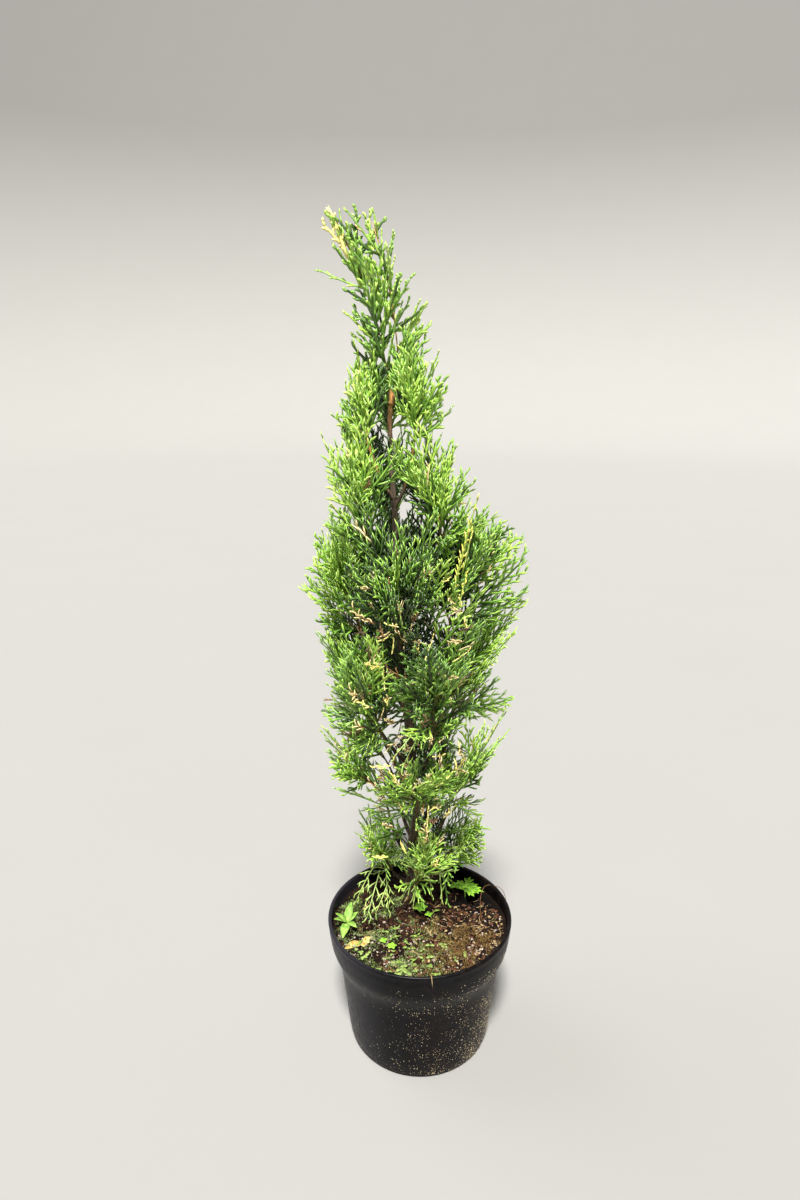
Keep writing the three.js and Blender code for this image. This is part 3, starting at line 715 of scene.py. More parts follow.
def add_spray(box, foot, axes, length, color, random, rise, breadth=1.0):
    """One flat spray: a rachis, branchlets that alternate on its two sides, and their own short forks.

    It bends up along its length by a share of it, or down where the share is below nothing.
    """
    look = settings().foliage
    heading, across, normal = axes
    leading = mix(1.0, LEADING["stout"], clamp((foot.z - LEADING["from"]) / LEADING["over"]))
    sizes = (look.pitch, look.shoot_width / 2, look.shoot_thickness / 2)
    pitch, width, thick = (size / MM * leading for size in sizes)
    curl = across * (random() - 0.5) * RACHIS["bow"] * length
    bow = curl + normal * (random() - 0.5) * RACHIS["bow"] * length + UP * rise * length

    def place(along):
        return foot + heading * along + bow * (along / length) ** 2

    def toward(angle):
        return ahead * math.cos(angle) + beside * math.sin(angle)

    stem = 1.0
    if color in PLAIN_COLORS and foot.z < CROWN_TOP:
        stem, width = RACHIS["slim_stem"], width * RACHIS["slim_width"]
    box.add(DARKER.get(color, color), 6, foot, foot + heading * length * 0.5, place(length), normal,
            width * RACHIS["width"] * stem, thick * RACHIS["thick"] * stem)
    count = max(BRANCHLET["fewest"], int(length * BRANCHLET["covered"] / pitch))
    side = 1 if random() < 0.5 else -1
    for index in range(count):
        share = (index + BRANCHLET["stagger"][0] + BRANCHLET["stagger"][1] * random()) / count
        along = length * mix(*BRANCHLET["span"], share)
        grown = min(1.0, BRANCHLET["grown"][0] + BRANCHLET["grown"][1] * share)
        reach = length * breadth * mix(*BRANCHLET["reach"], share) * grown
        reach = max(BRANCHLET["least"], reach * mix(*BRANCHLET["spread"], random()))
        angle = math.radians(mix(*BRANCHLET["angle"], share) + BRANCHLET["angle_spread"] * (random() - 0.5))
        ahead = (heading + bow * (2 * along / length**2)).normalized()
        beside = (across - ahead * across.dot(ahead)).normalized() * side
        blade = ahead.cross(across).normalized()
        lift = blade * ((random() - 0.5) * BRANCHLET["swing"] * reach) + UP * BRANCHLET["lift"] * reach
        start = place(along)
        bend = start + toward(angle * BRANCHLET["leaves"]) * reach * 0.5 + lift * 0.3
        end = start + toward(angle * BRANCHLET["ends"]) * reach + lift
        shade = branchlet_color(color, end, random)
        box.add(shade, 3, start, bend, end, blade, width, thick)
        branchlet = Bezier(start, bend, end)
        forks = min(SIDE_SHOOT["most"], int(reach / look.fork_pitch * MM + 0.5))
        for fork in range(forks):
            stagger = SIDE_SHOOT["stagger"][0] + SIDE_SHOOT["stagger"][1] * random()
            at = mix(*SIDE_SHOOT["span"], (fork + stagger) / forks)
            root = branchlet.at(at)
            size = reach * mix(*SIDE_SHOOT["reach"], at) * mix(*SIDE_SHOOT["spread"], random())
            turn = SIDE_SHOOT["turn"][0] + SIDE_SHOOT["turn"][1] * random()
            direction = (end - bend).normalized()
            direction.rotate(Quaternion(blade, math.radians(turn if (fork + index) % 2 else -turn)))
            stop = root + direction * (size + SIDE_SHOOT["least"]) + lift * SIDE_SHOOT["lift"]
            tint = LIGHTER.get(shade, shade) if random() < look.light_forks else shade
            middle = (root + stop) * 0.5 + direction * 0.1
            box.add(tint, 2, root, middle, stop, blade, width * SIDE_SHOOT["width"], thick)
        side = -side


# Where the photograph shows the trunk bare, or mostly bare below its upper stretch, in millimetres.
BARE = {"from": 290, "upper": 500, "upper_aside": 8, "aside": 12, "depth": 0.35, "chance": 0.4}
# Dry branchlets: their share all over the crown, and the rest of it round a height, within a depth.
DRY = {"all": 0.012, "more": 0.1, "height": 335, "over": 85, "depth": 0.85, "straw": 0.7}
# Middle of the crown's dark front, in x and z, and how far its shade reaches for sprays and for branchlets.
DARK_FRONT = (-10, 395)
SPRAY_SHADE = {"most": 0.52, "wide": 42, "high": 85}
BRANCHLET_SHADE = {"most": 0.3, "wide": 30, "high": 110}
# Depths in the crown at which a branchlet is painted a step darker as painted shade, and then darker again.
DARKER_DEPTHS = (0.5, 0.25)
# What lightens a spray: chance, and as painted light its depth in the crown and its height, lighter outside
# and higher up, with painted shade inside.
LIGHT = {"chance": 0.55, "depth": 0.5, "height": 0.28, "from": 350, "over": 400}
LIGHT_LIMITS = {"shade": 0.16, "deep": 0.36, "mid": 0.62, "fresh": 0.93}
# Height below which sprays hang over the peat, and the share of them in the hanging colour.
HANGING = {"below": 190, "chance": 0.35}


def front_shade(place, shade):
    """How dark the crown's front makes a place: most at its middle, and less away from it."""
    off = (place.x - DARK_FRONT[0]) / shade["wide"], (place.z - DARK_FRONT[1]) / shade["high"]
    return shade["most"] * math.exp(-off[0] ** 2 - off[1] ** 2)


def hides_trunk(place, random):
    """Whether a spray's middle stands before the trunk where it is to be seen."""
    trunk = trunk_at(place.z)
    aside = abs(place.x - trunk.x)
    if place.y > trunk.y or not BARE["from"] < place.z < CROWN_TOP:
        return False
    if place.z > BARE["upper"]:
        return aside < BARE["upper_aside"]
    return aside < BARE["aside"] and crown_depth(place) > BARE["depth"] and random() < BARE["chance"]


def branchlet_color(color, place, random):
    """A branchlet's colour: its spray's own, in painted shade darker inside the crown and at its front, with
    dry ones among it low down.
    """
    chance = random()
    if color in PLAIN_COLORS:
        return color
    depth = crown_depth(place)
    dry = DRY["all"]
    if depth < DRY["depth"]:
        dry += DRY["more"] * math.exp(-((place.z - DRY["height"]) / DRY["over"]) ** 2)
    if chance < dry:
        return "straw" if random() < DRY["straw"] else "brown"
    if place.z < CROWN_TOP:
        for limit in DARKER_DEPTHS:
            if depth < limit + front_shade(place, BRANCHLET_SHADE):
                color = DARKER.get(color, color)
    return color


def spray_color(foot, axes, length, random):
    """The colour dealt to a spray from where it grows: painted light makes it lighter outside and higher, and
    painted shade makes it darker inside and at the crown's front.
    """
    chance = random()
    depth = crown_depth(foot.lerp(foot + axes[0] * length, 0.6))
    height = clamp((foot.z - LIGHT["from"]) / LIGHT["over"])
    light = chance * LIGHT["chance"] + clamp(depth) * LIGHT["depth"] + height * LIGHT["height"]
    light -= front_shade(foot, SPRAY_SHADE)
    if foot.z < HANGING["below"] and random() < HANGING["chance"]:
        return "low"
    return next((color for color, limit in LIGHT_LIMITS.items() if light < limit), "tips")


# Single sprays that the photograph shows plainly: foot, tip, roll, colour, rise and breadth.
LONE_SPRAYS = [
    # The leading plume: a loose broom of steep shoots, cream at its very tip.
    ((-58, -8, 704), (-71, -9, 742), 20, "cream", 0.0, 0.2),
    ((-63, -9, 714), (-75, -10, 728), 60, "cream", 0.0, 0.3),
    ((-52, -3, 692), (-71, -5, 741), 10, "cream", 0.0, 0.26),
    ((-48, -2, 684), (-66, -7, 724), 60, "tips", 0.0, 0.4),
    ((-47, -2, 684), (-83, -6, 695), 70, "fresh", 0.04, 0.42),
    ((-40, -2, 670), (-42, -4, 739), 60, "tips", 0.0, 0.34),
    ((-38, -3, 666), (-27, -6, 726), 30, "fresh", 0.0, 0.36),
    ((-36, -3, 660), (-19, -6, 706), 20, "tips", 0.0, 0.4),
    ((-34, -4, 652), (-7, -8, 695), 15, "fresh", 0.0, 0.45),
    ((-33, -3, 646), (2, -6, 668), 15, "mid", 0.06, 0.5),
    ((-41, -2, 671), (-60, -5, 684), 40, "mid", 0.06, 0.6),
    ((-37, -2, 656), (-54, -4, 664), 30, "mid", 0.1, 0.6),
    ((-38, 3, 662), (-34, 20, 706), 10, "fresh", 0.0, 0.45),
    ((-38, -6, 662), (-37, -22, 704), 80, "fresh", 0.0, 0.45),
    ((-46, 4, 682), (-53, 14, 722), 30, "tips", 0.0, 0.4),
    ((-33, -4, 634), (-52, -12, 650), 60, "mid", 0.1, 0.6),
    ((-34, 0, 622), (-57, -8, 640), 30, "deep", 0.1, 0.6),
    ((-27, -2, 618), (-10, -12, 652), 70, "mid", 0.05, 0.5),
    ((-6, -4, 596), (-9, -8, 652), 40, "mid", 0.0, 0.4),
    ((-3, -4, 600), (9, -8, 640), 20, "fresh", 0.0, 0.45),
    ((-50, -5, 690), (-60, -10, 728), 30, "fresh", 0.0, 0.42),
    ((-44, -4, 678), (-50, -10, 724), 70, "fresh", 0.0, 0.4),
    ((-42, -6, 672), (-46, -12, 714), 20, "tips", 0.0, 0.45),
    ((-38, -4, 662), (-34, -10, 716), 60, "fresh", 0.0, 0.4),
    ((-37, -6, 658), (-26, -14, 704), 10, "fresh", 0.0, 0.45),
    ((-35, -6, 652), (-17, -14, 690), 50, "tips", 0.0, 0.45),
    ((-34, -6, 646), (-22, -16, 688), 80, "fresh", 0.0, 0.45),
    ((-33, -6, 640), (-9, -14, 676), 30, "mid", 0.0, 0.5),
    ((-32, -6, 636), (-30, -18, 680), 0, "fresh", 0.0, 0.5),
    ((-35, -6, 650), (-46, -16, 686), 60, "mid", 0.0, 0.5),
    ((-32, 4, 638), (-14, 14, 676), 20, "mid", 0.0, 0.5),
    ((-36, 6, 656), (-50, 18, 690), 40, "mid", 0.0, 0.5),
    ((-31, -4, 630), (-44, -16, 668), 20, "mid", 0.0, 0.5),
    ((-29, -4, 626), (-20, -16, 664), 60, "fresh", 0.0, 0.5),
    # Fans in front on the right, below the yellow shoots.
    ((6, -28, 420), (24, -60, 462), 30, "fresh", 0.0, 0.9),
    ((14, -26, 436), (42, -54, 468), 60, "mid", 0.1, 0.9),
    ((10, -34, 402), (32, -62, 438), 10, "fresh", 0.0, 0.9),
    ((16, -28, 392), (46, -52, 424), 40, "mid", 0.1, 0.9),
    ((4, -36, 438), (13, -66, 484), 70, "fresh", 0.0, 0.8),
    ((20, -22, 446), (48, -44, 490), 20, "mid", 0.1, 0.9),
    ((22, -24, 420), (54, -42, 452), 50, "fresh", 0.1, 0.9),
    ((12, -20, 460), (20, -52, 506), 30, "mid", 0.0, 0.8),
    # Fans low in the crown, on both sides of the trunk.
    ((-16, -8, 318), (-44, -22, 302), 40, "mid", 0.05, 0.8),
    ((-14, -8, 330), (-46, -18, 326), 10, "mid", 0.05, 0.8),
    ((-14, 10, 246), (-40, -6, 262), 50, "mid", 0.1, 0.8),
    ((-13, 24, 196), (-50, 4, 224), 30, "mid", 0.1, 0.8),
    ((-12, 22, 206), (-44, -8, 204), 60, "mid", 0.1, 0.8),
    ((-13, 26, 176), (-50, 2, 182), 20, "fresh", 0.1, 0.8),
    ((-4, 18, 222), (-18, -16, 236), 40, "mid", 0.1, 0.8),
    ((4, 20, 200), (46, 2, 212), 30, "mid", 0.1, 0.8),
    ((4, 24, 184), (44, 8, 186), 60, "fresh", 0.1, 0.8),
    ((2, 16, 232), (34, -8, 246), 20, "mid", 0.1, 0.8),
    # Yellow shoots on the right, the longest standing clear of the crown.
    ((28, -44, 474), (40, -48, 536), 20, "yellow", 0.0, 0.14),
    ((25, -46, 462), (33, -52, 514), 60, "yellow", 0.0, 0.24),
    ((30, -42, 468), (37, -50, 508), 10, "yellow", 0.0, 0.26),
    ((23, -48, 450), (27, -56, 494), 40, "yellow", 0.0, 0.26),
    ((27, -52, 442), (30, -60, 474), 70, "yellow", 0.0, 0.26),
    # Dead and dry sprays: pale ones in front, a straw tuft on the right, brown ones round the trunk.
    ((4, -37, 227), (7, -42, 266), 30, "cream", 0.0, 0.24),
    ((6, -37, 226), (3, -42, 250), 60, "straw", 0.0, 0.3),
    ((28, -38, 295), (37, -46, 312), 20, "cream", 0.1, 0.8),
    ((31, -38, 292), (27, -48, 311), 60, "cream", 0.0, 0.8),
    ((29, -38, 298), (36, -50, 303), 40, "straw", 0.0, 0.8),
    ((-8, -36, 334), (-32, -50, 322), 10, "straw", -0.06, 0.35),
    ((-8, -38, 331), (-24, -54, 316), 60, "low", -0.1, 0.5),
    ((-4, -36, 326), (-20, -56, 306), 30, "low", -0.1, 0.5),
    ((-14, -6, 342), (-20, -22, 322), 30, "brown", -0.15, 0.35),
    ((-10, -6, 330), (-2, -22, 312), 50, "brown", -0.15, 0.35),
    ((-10, -4, 292), (-16, -18, 262), 40, "brown", -0.1, 0.6),
    ((-8, 0, 280), (4, -16, 256), 20, "brown", -0.1, 0.6),
    ((-14, -4, 316), (-24, -20, 292), 60, "brown", -0.1, 0.35),
    # Pale fronds that hang over the peat.
    ((-38, 22, 158), (-51, -15, 131), 80, "low", -0.1, 0.8),
    ((-32, 20, 158), (-31, -3, 131), 70, "low", -0.14, 0.8),
    ((-44, 25, 160), (-66, 5, 135), 75, "low", -0.1, 0.8),
    ((-30, 12, 152), (-41, -8, 130), 60, "low", -0.12, 0.8),
    ((22, 12, 162), (30, 3, 132), 80, "mid", -0.1, 0.45),
    ((8, 16, 174), (12, 4, 142), 60, "low", -0.2, 0.6),
    ((-2, 14, 170), (-6, -8, 146), 40, "low", -0.16, 0.6),
    ((18, 14, 168), (24, -6, 144), 30, "low", -0.16, 0.6),
]

# Short curled bits of dead spray caught in the front of the crown: x, z, turn, length and colour.
DRY_BITS = [
    (-38, 435, 200, 15, "straw"), (-31, 437, 320, 13, "cream"), (-36, 420, 60, 17, "cream"),
    (-18, 425, 240, 15, "straw"), (-3, 411, 100, 20, "cream"), (0, 402, 60, 19, "cream"),
    (4, 396, 20, 15, "straw"), (-34, 396, 230, 18, "cream"), (-13, 387, 200, 20, "brown"),
    (-8, 380, 330, 18, "straw"), (-31, 373, 100, 19, "cream"), (-28, 366, 260, 16, "cream"),
    (-50, 362, 210, 15, "straw"), (-41, 356, 180, 17, "cream"), (18, 470, 90, 22, "cream"),
    (19, 458, 270, 15, "straw"), (23, 401, 20, 16, "cream"), (14, 388, 340, 13, "straw"),
    (-10, 355, 120, 15, "brown"), (6, 362, 60, 15, "cream"), (32, 420, 160, 12, "straw"),
    (-22, 344, 240, 16, "straw"), (-2, 340, 300, 14, "brown"), (28, 372, 30, 12, "straw"),
    (-26, 308, 200, 16, "cream"), (-18, 296, 300, 14, "straw"), (8, 318, 40, 15, "cream"),
    (16, 300, 100, 13, "straw"), (-34, 276, 180, 14, "straw"), (12, 280, 20, 16, "cream"),
    (2, 262, 260, 14, "straw"), (-12, 252, 150, 13, "cream"), (20, 244, 340, 14, "cream"),
    (-24, 232, 220, 13, "straw"), (14, 214, 60, 14, "straw"), (-30, 196, 160, 12, "cream"),
]
# Smaller ones strewn by chance: ranges of x, z and length, and the colours of each five.
STREWN = {"x": (-52, 34), "z": (190, 470), "length": (7, 13)}
STREWN_COLORS = ("cream", "straw", "cream", "brown", "straw")
# How all of them lie: at a share of the crown's depth, how steeply, and how far rolled, risen and broad.
DRY_LAY = {"depth": 0.84, "slopes": (-0.7, 1.2), "roll": 60, "rise": 0.3, "breadth": 0.8}
FRONT = Vector((0.0, -1.0, 0.0))


def crown_front(x, z, share):
    """How far forward the crown stands at a place, at a share of its depth there."""
    middle, depth_middle, half, half_depth = crown_at(z)
    return depth_middle - half_depth * share * math.sqrt(max(0.0, 1 - ((x - middle) / half) ** 2))


# Limbs from bmesh operators


def limb_frames(curve, steps):
    """Places and turning frames along a curve that don't twist."""
    direction = tangent(curve, 0.0)
    side = direction.orthogonal().normalized()
    frames = []
    for step in range(steps + 1):
        share = step / steps
        turned = tangent(curve, share)
        side.rotate(direction.rotation_difference(turned))
        direction = turned
        other = direction.cross(side)
        place = curve.at(share)
        frames.append(Matrix((
            (side.x, other.x, direction.x, place.x),
            (side.y, other.y, direction.y, place.y),
            (side.z, other.z, direction.z, place.z),
            (0, 0, 0, 1),
        )))
    return frames


def sweep_limb(bm, curve, radius_at, sides, steps):
    """A limb: a circle extruded step by step along a curve, scaled to its taper, with closed ends."""
    frames = limb_frames(curve, steps)
    made = []
    radius = radius_at(0.0)
    circle = bmesh.ops.create_circle(
        bm, cap_ends=True, segments=sides, radius=radius, matrix=frames[0] @ Matrix.Rotation(math.pi, 4, "X"),
    )["verts"]
    made += circle
    edges = list({edge for vert in circle for edge in vert.link_edges})
    for step in range(1, steps + 1):
        following = radius_at(step / steps)
        geom = bmesh.ops.extrude_edge_only(bm, edges=edges)["geom"]
        verts = [item for item in geom if isinstance(item, bmesh.types.BMVert)]
        move = frames[step] @ Matrix.Scale(following / radius, 4) @ frames[step - 1].inverted()
        bmesh.ops.transform(bm, matrix=move, verts=verts)
        ring = set(verts)
        edges = [item for item in geom if isinstance(item, bmesh.types.BMEdge) and set(item.verts) <= ring]
        made += verts
        radius = following
    bmesh.ops.edgeloop_fill(bm, edges=edges)
    bmesh.ops.recalc_face_normals(bm, faces=list({face for vert in made for face in vert.link_faces}))
    return made


# Bark relief, by the width of its strands: ridges, finer cracks, and how much it is drawn out along the limb.
RIDGES = {"pitch": 1.7, "height": 1.4, "sunk": 0.45}
CRACKS = {"pitch": 4.3, "height": 0.35}
DRAWN_OUT = 0.12


def roughen_bark(bm, verts, depth, width_mm):
    """Bark relief: long strands and cracks pushed in and out along the normals."""
    bm.normal_update()
    pushes = []
    for vert in verts:
        place = Vector((vert.co.x / width_mm, vert.co.y / width_mm, vert.co.z / width_mm * DRAWN_OUT))
        ridge = abs(noise.noise(place * RIDGES["pitch"])) * RIDGES["height"] - RIDGES["sunk"]
        crack = noise.noise(place * CRACKS["pitch"]) * CRACKS["height"]
        pushes.append(vert.normal * depth * (ridge + crack))
    for vert, push in zip(verts, pushes):
        vert.co += push


# Meshes of the limbs: sides and steps, depth and width of the bark's relief, lobes of the root flare, and
# the boughs' collars, in millimetres. The bark turns from old to young at a height of its own on each.
TRUNK_BARK = {"sides": 28, "steps": 260, "relief": (0.55, 2.4), "young": 590, "sunk": 1.5}
ROOT_LOBES = {"count": 5, "depth": 0.22, "height": 7.0, "turn": 0.8}
BOUGH_BARK = {"sides": 14, "step": 1.6, "fewest": 24, "relief": (0.3, 1.9), "young": 540}
COLLAR = {"height": 0.9, "length": 5.0}


def build_limbs():
    """The trunk with its root flare, and the boughs with the collars that they grow out of."""
    boughs, _ = plan_limbs()
    bm = bmesh.new()
    trunk = sweep_limb(bm, TRUNK_CURVE, trunk_radius, TRUNK_BARK["sides"], TRUNK_BARK["steps"])
    foot = Vector(TRUNK_LINE[0])
    for vert in trunk:
        fade = math.exp(-max(vert.co.z - foot.z, 0) / ROOT_LOBES["height"])
        angle = math.atan2(vert.co.y - foot.y, vert.co.x - foot.x)
        lobe = 1 + ROOT_LOBES["depth"] * fade * math.sin(ROOT_LOBES["count"] * angle + ROOT_LOBES["turn"])
        middle = trunk_at(vert.co.z)
        vert.co.x = middle.x + (vert.co.x - middle.x) * lobe
        vert.co.y = middle.y + (vert.co.y - middle.y) * lobe
        vert.co.z = max(vert.co.z, foot.z - TRUNK_BARK["sunk"])
    roughen_bark(bm, trunk, *TRUNK_BARK["relief"])
    add_piece("bark_trunk", bm, stringy_bark("stringy_trunk_bark", TRUNK_BARK["young"]), ["trunk"])

    bm = bmesh.new()
    for curve, foot_radius, tip_radius in boughs:
        length = sum((curve.at((s + 1) / 20) - curve.at(s / 20)).length for s in range(20))

        def radius_at(share):
            collar = COLLAR["height"] * math.exp(-share * length / COLLAR["length"])
            return mix(foot_radius, tip_radius, share) + collar

        steps = max(BOUGH_BARK["fewest"], int(length / BOUGH_BARK["step"]))
        limb = sweep_limb(bm, curve, radius_at, BOUGH_BARK["sides"], steps)
        roughen_bark(bm, limb, *BOUGH_BARK["relief"])
    add_piece("bark_boughs", bm, stringy_bark("stringy_bough_bark", BOUGH_BARK["young"]), BOUGH_NODES)


# Finer twigs of a mass, in two rounds: size and shortest spray, beside the source's.
FINER = {"share": (0.8, 0.56), "shortest": (20.0, 15.0)}
# A mass's stem: how far it starts inside its limb, its breadth and thickness, and how slim a leader's is.
STEM = {"sunk": 2.0, "breadth": 1.05, "thickness": 0.95, "leader": 0.62, "young": 540}
TWIG = {"breadth": 0.85, "thickness": 0.8, "past": 0.1}
# How far sprays rise: less low in the crown, and downwards where they hang.
RISE = {"low": 0.2, "from": 230, "over": 240, "hanging": -0.4, "level": 1.1}


def dress_mass(box, cell, limbs, random):
    """One mass: its stem, the source's own twigs and sprays, and two rounds of finer ones."""
    look = settings().foliage
    lines, sprays = grow_mass(
        cell, limbs, cell["twigs"], cell["seed"], 1.0, GROWTH["shortest"], GROWTH["first_twig"])
    looser = {**cell, "gap_size": look.fine_gap, "slack": look.fine_slack / MM}
    rounds = zip((look.fill_twigs, look.fine_twigs), FINER["share"], FINER["shortest"])
    for number, (twigs, share, shortest) in enumerate(rounds, 1):
        more_lines, more_sprays = grow_mass(
            looser, limbs, round(twigs * cell["density"]), cell["seed"] + SEEDS["finer"] * number,
            share, shortest, 0.0, cell["upright"])
        lines += more_lines
        sprays += more_sprays
    stem, leader = cell["stem"], cell["half_turn"] == 180
    slim = STEM["leader"] if leader else 1.0
    box.add("young_wood" if stem.at(0).z > STEM["young"] else "old_wood", 6,
            stem.foot - tangent(stem, 0.0) * STEM["sunk"], stem.bend, stem.tip,
            tangent(stem, 0.5).orthogonal().normalized(),
            GROWTH["stem"] * STEM["breadth"] * slim, GROWTH["stem"] * STEM["thickness"] * slim)
    for foot, tip in lines:
        box.add("green_wood", 3, foot, (foot + tip) * 0.5, tip + (tip - foot) * TWIG["past"],
                (tip - foot).orthogonal().normalized(),
                GROWTH["twig"] * TWIG["breadth"], GROWTH["twig"] * TWIG["thickness"])
    for foot, axes, length in sprays:
        if hides_trunk(foot + axes[0] * length * 0.5, random):
            continue
        climb = mix(RISE["low"], 1.0, clamp((foot.z - RISE["from"]) / RISE["over"]))
        if foot.z <= HANGING["below"]:
            climb = RISE["hanging"]
        rise = look.rise * (RISE["level"] - clamp(axes[0].z)) * climb
        color = spray_color(foot, axes, length, random)
        add_spray(box, foot, axes, length, color, random, rise, look.plume_breadth if leader else 1.0)


def build_foliage():
    """Stems, twigs and sprays of every mass, joined by colour."""
    look = settings().foliage
    boughs, cells = plan_limbs()
    limbs = limb_samples(boughs)
    box = ShootBox()
    random = random_stream(look.seed)
    for cell in cells:
        dress_mass(box, cell, limbs, random)
    for foot, tip, roll, color, rise, breadth in LONE_SPRAYS:
        foot, tip = Vector(foot), Vector(tip)
        axes = spray_axes((tip - foot).normalized(), FRONT, roll)
        add_spray(box, foot, axes, (tip - foot).length, color, random, rise, breadth)
    strewn = [
        (mix(*STREWN["x"], random()), mix(*STREWN["z"], random()), 360 * random(),
         mix(*STREWN["length"], random()), color)
        for color in STREWN_COLORS * look.dry_bits
    ]
    for x, z, turn, length, color in DRY_BITS + strewn:
        heading = (outward(turn) + UP * mix(*DRY_LAY["slopes"], random())).normalized()
        axes = spray_axes(heading, FRONT, DRY_LAY["roll"] * random())
        foot = Vector((x, crown_front(x, z, DRY_LAY["depth"]), z))
        add_spray(box, foot, axes, length, color, random, DRY_LAY["rise"], DRY_LAY["breadth"])
    tones = {
        "old_wood": (look.old_wood, look.wood),
        "young_wood": (look.tan_wood, look.young_wood),
        "green_wood": (look.wood, look.green_wood),
    }
    for color in LEAF_COLORS:
        tones[color] = getattr(look, f"{color}_dark"), getattr(look, f"{color}_light")
    for color, shoots in sorted(box.by_color.items()):
        leafy = color in LEAF_COLORS
        shoot_pieces(f"foliage_{color}", shoots, scale_leaf(f"thuja_{color}", *tones[color]),
                     MASS_NODES if leafy else ())


# Pot and root ball from spun profiles


def spin_profile(profile, steps):
    """A round shell from a profile of radii and heights in millimetres."""
    bm = bmesh.new()
    verts = [bm.verts.new((radius, 0.0, height)) for radius, height in profile]
    edges = [bm.edges.new(pair) for pair in zip(verts, verts[1:])]
    bmesh.ops.spin(
        bm, geom=verts + edges, cent=(0, 0, 0), axis=UP, angle=2 * math.pi, steps=steps, use_merge=True)
    bmesh.ops.remove_doubles(bm, verts=bm.verts, dist=0.01)
    bmesh.ops.recalc_face_normals(bm, faces=bm.faces)
    return bm


def pot_wall():
    """Outside of the wall from the heel to the lip, as in the source."""
    lip = POT["height"] - POT["lip"]
    return [
        (POT["heel"], POT["heel_height"]),
        (POT["waist"], POT["waist_height"]),
        (mix(POT["waist"], POT["shoulder"], 0.45), mix(POT["waist_height"], POT["shoulder_height"], 0.62)),
        (POT["shoulder"], POT["shoulder_height"]),
        (mix(POT["shoulder"], POT["rim"], 0.62), mix(POT["shoulder_height"], lip, 0.5)),
        (POT["rim"] - 1, lip),
    ]


def arc(center, radius, start, stop, steps):
    """Points on an arc, in degrees."""
    for step in range(steps + 1):
        angle = math.radians(mix(start, stop, step / steps))
        yield center[0] + radius * math.cos(angle), center[1] + radius * math.sin(angle)


def pot_profile(outside):
    """The whole pot as one line: under its floor, up the outside, over the rolled lip and down the inside."""
    foot, rim, top, floor = POT["foot"], POT["rim"], POT["height"], POT["floor"]
    inside = [(radius - POT["wall"], height) for radius, height in reversed(outside)]
    return [
        (0.0, 1.2), (foot - 9, 1.2), (foot - 7.5, 0.0), (foot - 1.6, 0.0),
        *arc((foot - 1.6, 1.6), 1.6, -90, 0, 5),
        (foot + 0.5, 4.4), (foot + 1.5, 5.0),
        *outside,
        (rim - 0.55, top - 8.0), (rim - 0.6, top - 4.4), (rim - 0.2, top - 3.4), (rim, top - 2.6),
        *arc((rim - 1.7, top - 1.7), 1.7, 0, 175, 9),
        (rim - 3.5, top - 3.0),
        *inside,
        (foot - POT["wall"], floor + 2.0), (foot - 4.0, floor), (0.0, floor),
    ]


# Waves that take the wall out of round: how many, how far in millimetres, and where they begin.
WAVES = ((2, 0.35, 0.6), (3, 0.15, 1.9))
# Top of the moulded ring at the foot: its height, and how far it stands out.
FOOT_RING = {"height": 6.5, "out": 1.6}
# Sand stuck to the wall: turns in degrees, sizes and heights in millimetres, and otherwise shares.
SAND = {
    "turns": (-180, 10), "lowest": 4, "height": 108, "toward_foot": 1.4, "size": (0.18, 0.52), "small": 3,
    "least": 0.06, "toward_right": 1.5, "cluster": (0.55, 0.9), "cluster_turn": 4, "cluster_height": 18,
}


def build_pot():
    """The pot's shell: moulded ring at the foot, S-shaped flare and rolled lip, with sand stuck on it."""
    first = (POT["foot"] + FOOT_RING["out"], FOOT_RING["height"])
    wall_line = Spline([(radius, 0, height) for radius, height in [first, *pot_wall()]])
    points = [wall_line.at(step / 60) for step in range(61)]
    outside = [(point.x, point.z) for point in points]
    bm = spin_profile(pot_profile(outside), 144)
    for vert in bm.verts:
        angle = math.atan2(vert.co.y, vert.co.x)
        height = vert.co.z / POT["height"]
        wave = sum(depth * math.sin(count * angle + turn) * height for count, depth, turn in WAVES)
        vert.co.xy *= 1 + wave / POT["rim"]
    add_piece("pot_shell", bm, black_polypropylene(), ["pot"])
    build_sand(np.array(outside))


def build_sand(wall):
    """Grains of sand on the front of the wall, in clusters, most of them low down and on the right."""
    look = settings().pot
    random = random_stream(5501)
    grains = []
    while len(grains) < look.grains:
        angle = math.radians(mix(*SAND["turns"], random()))
        height = SAND["lowest"] + SAND["height"] * random() ** SAND["toward_foot"]
        right = clamp((math.cos(angle) + 0.75) / 1.75)
        swirl = noise.noise(Vector((angle * SAND["cluster_turn"], height / SAND["cluster_height"], 3.0)))
        cluster = clamp(SAND["cluster"][0] + swirl * SAND["cluster"][1])
        if random() > mix(SAND["least"], 1.0, right ** SAND["toward_right"]) * cluster:
            continue
        radius = float(np.interp(height, wall[:, 1], wall[:, 0]))
        if height <= FOOT_RING["height"]:
            radius = POT["foot"] + 1.5
        size = mix(*SAND["size"], random() ** SAND["small"])
        out = Vector((math.cos(angle), math.sin(angle), 0.0))
        grains.append((out * (radius + size * 0.2) + UP * height, size))
    sand = plain_matter("dried_sand", look.sand_dark, look.sand_light, 0.8, 0.9, 0.05)
    add_piece("pot_sand_grains", crumb_arrays(grains, random, 1.0), sand)


# Lumps and crumbs of the peat's surface: size across, layer of the noise, and height, in millimetres.
LUMPS = ((15.0, 7.0, 3.4), (5.5, 3.0, 3.4), (2.1, 11.0, 1.6))
# The peat's edge: where it begins and how broad it is, how far it sinks, and how smooth it grows.
PEAT_EDGE = {"from": 70, "over": 12.0, "sunk": 1.6, "smooth": 0.5}
HEAP_OVER = 55.0


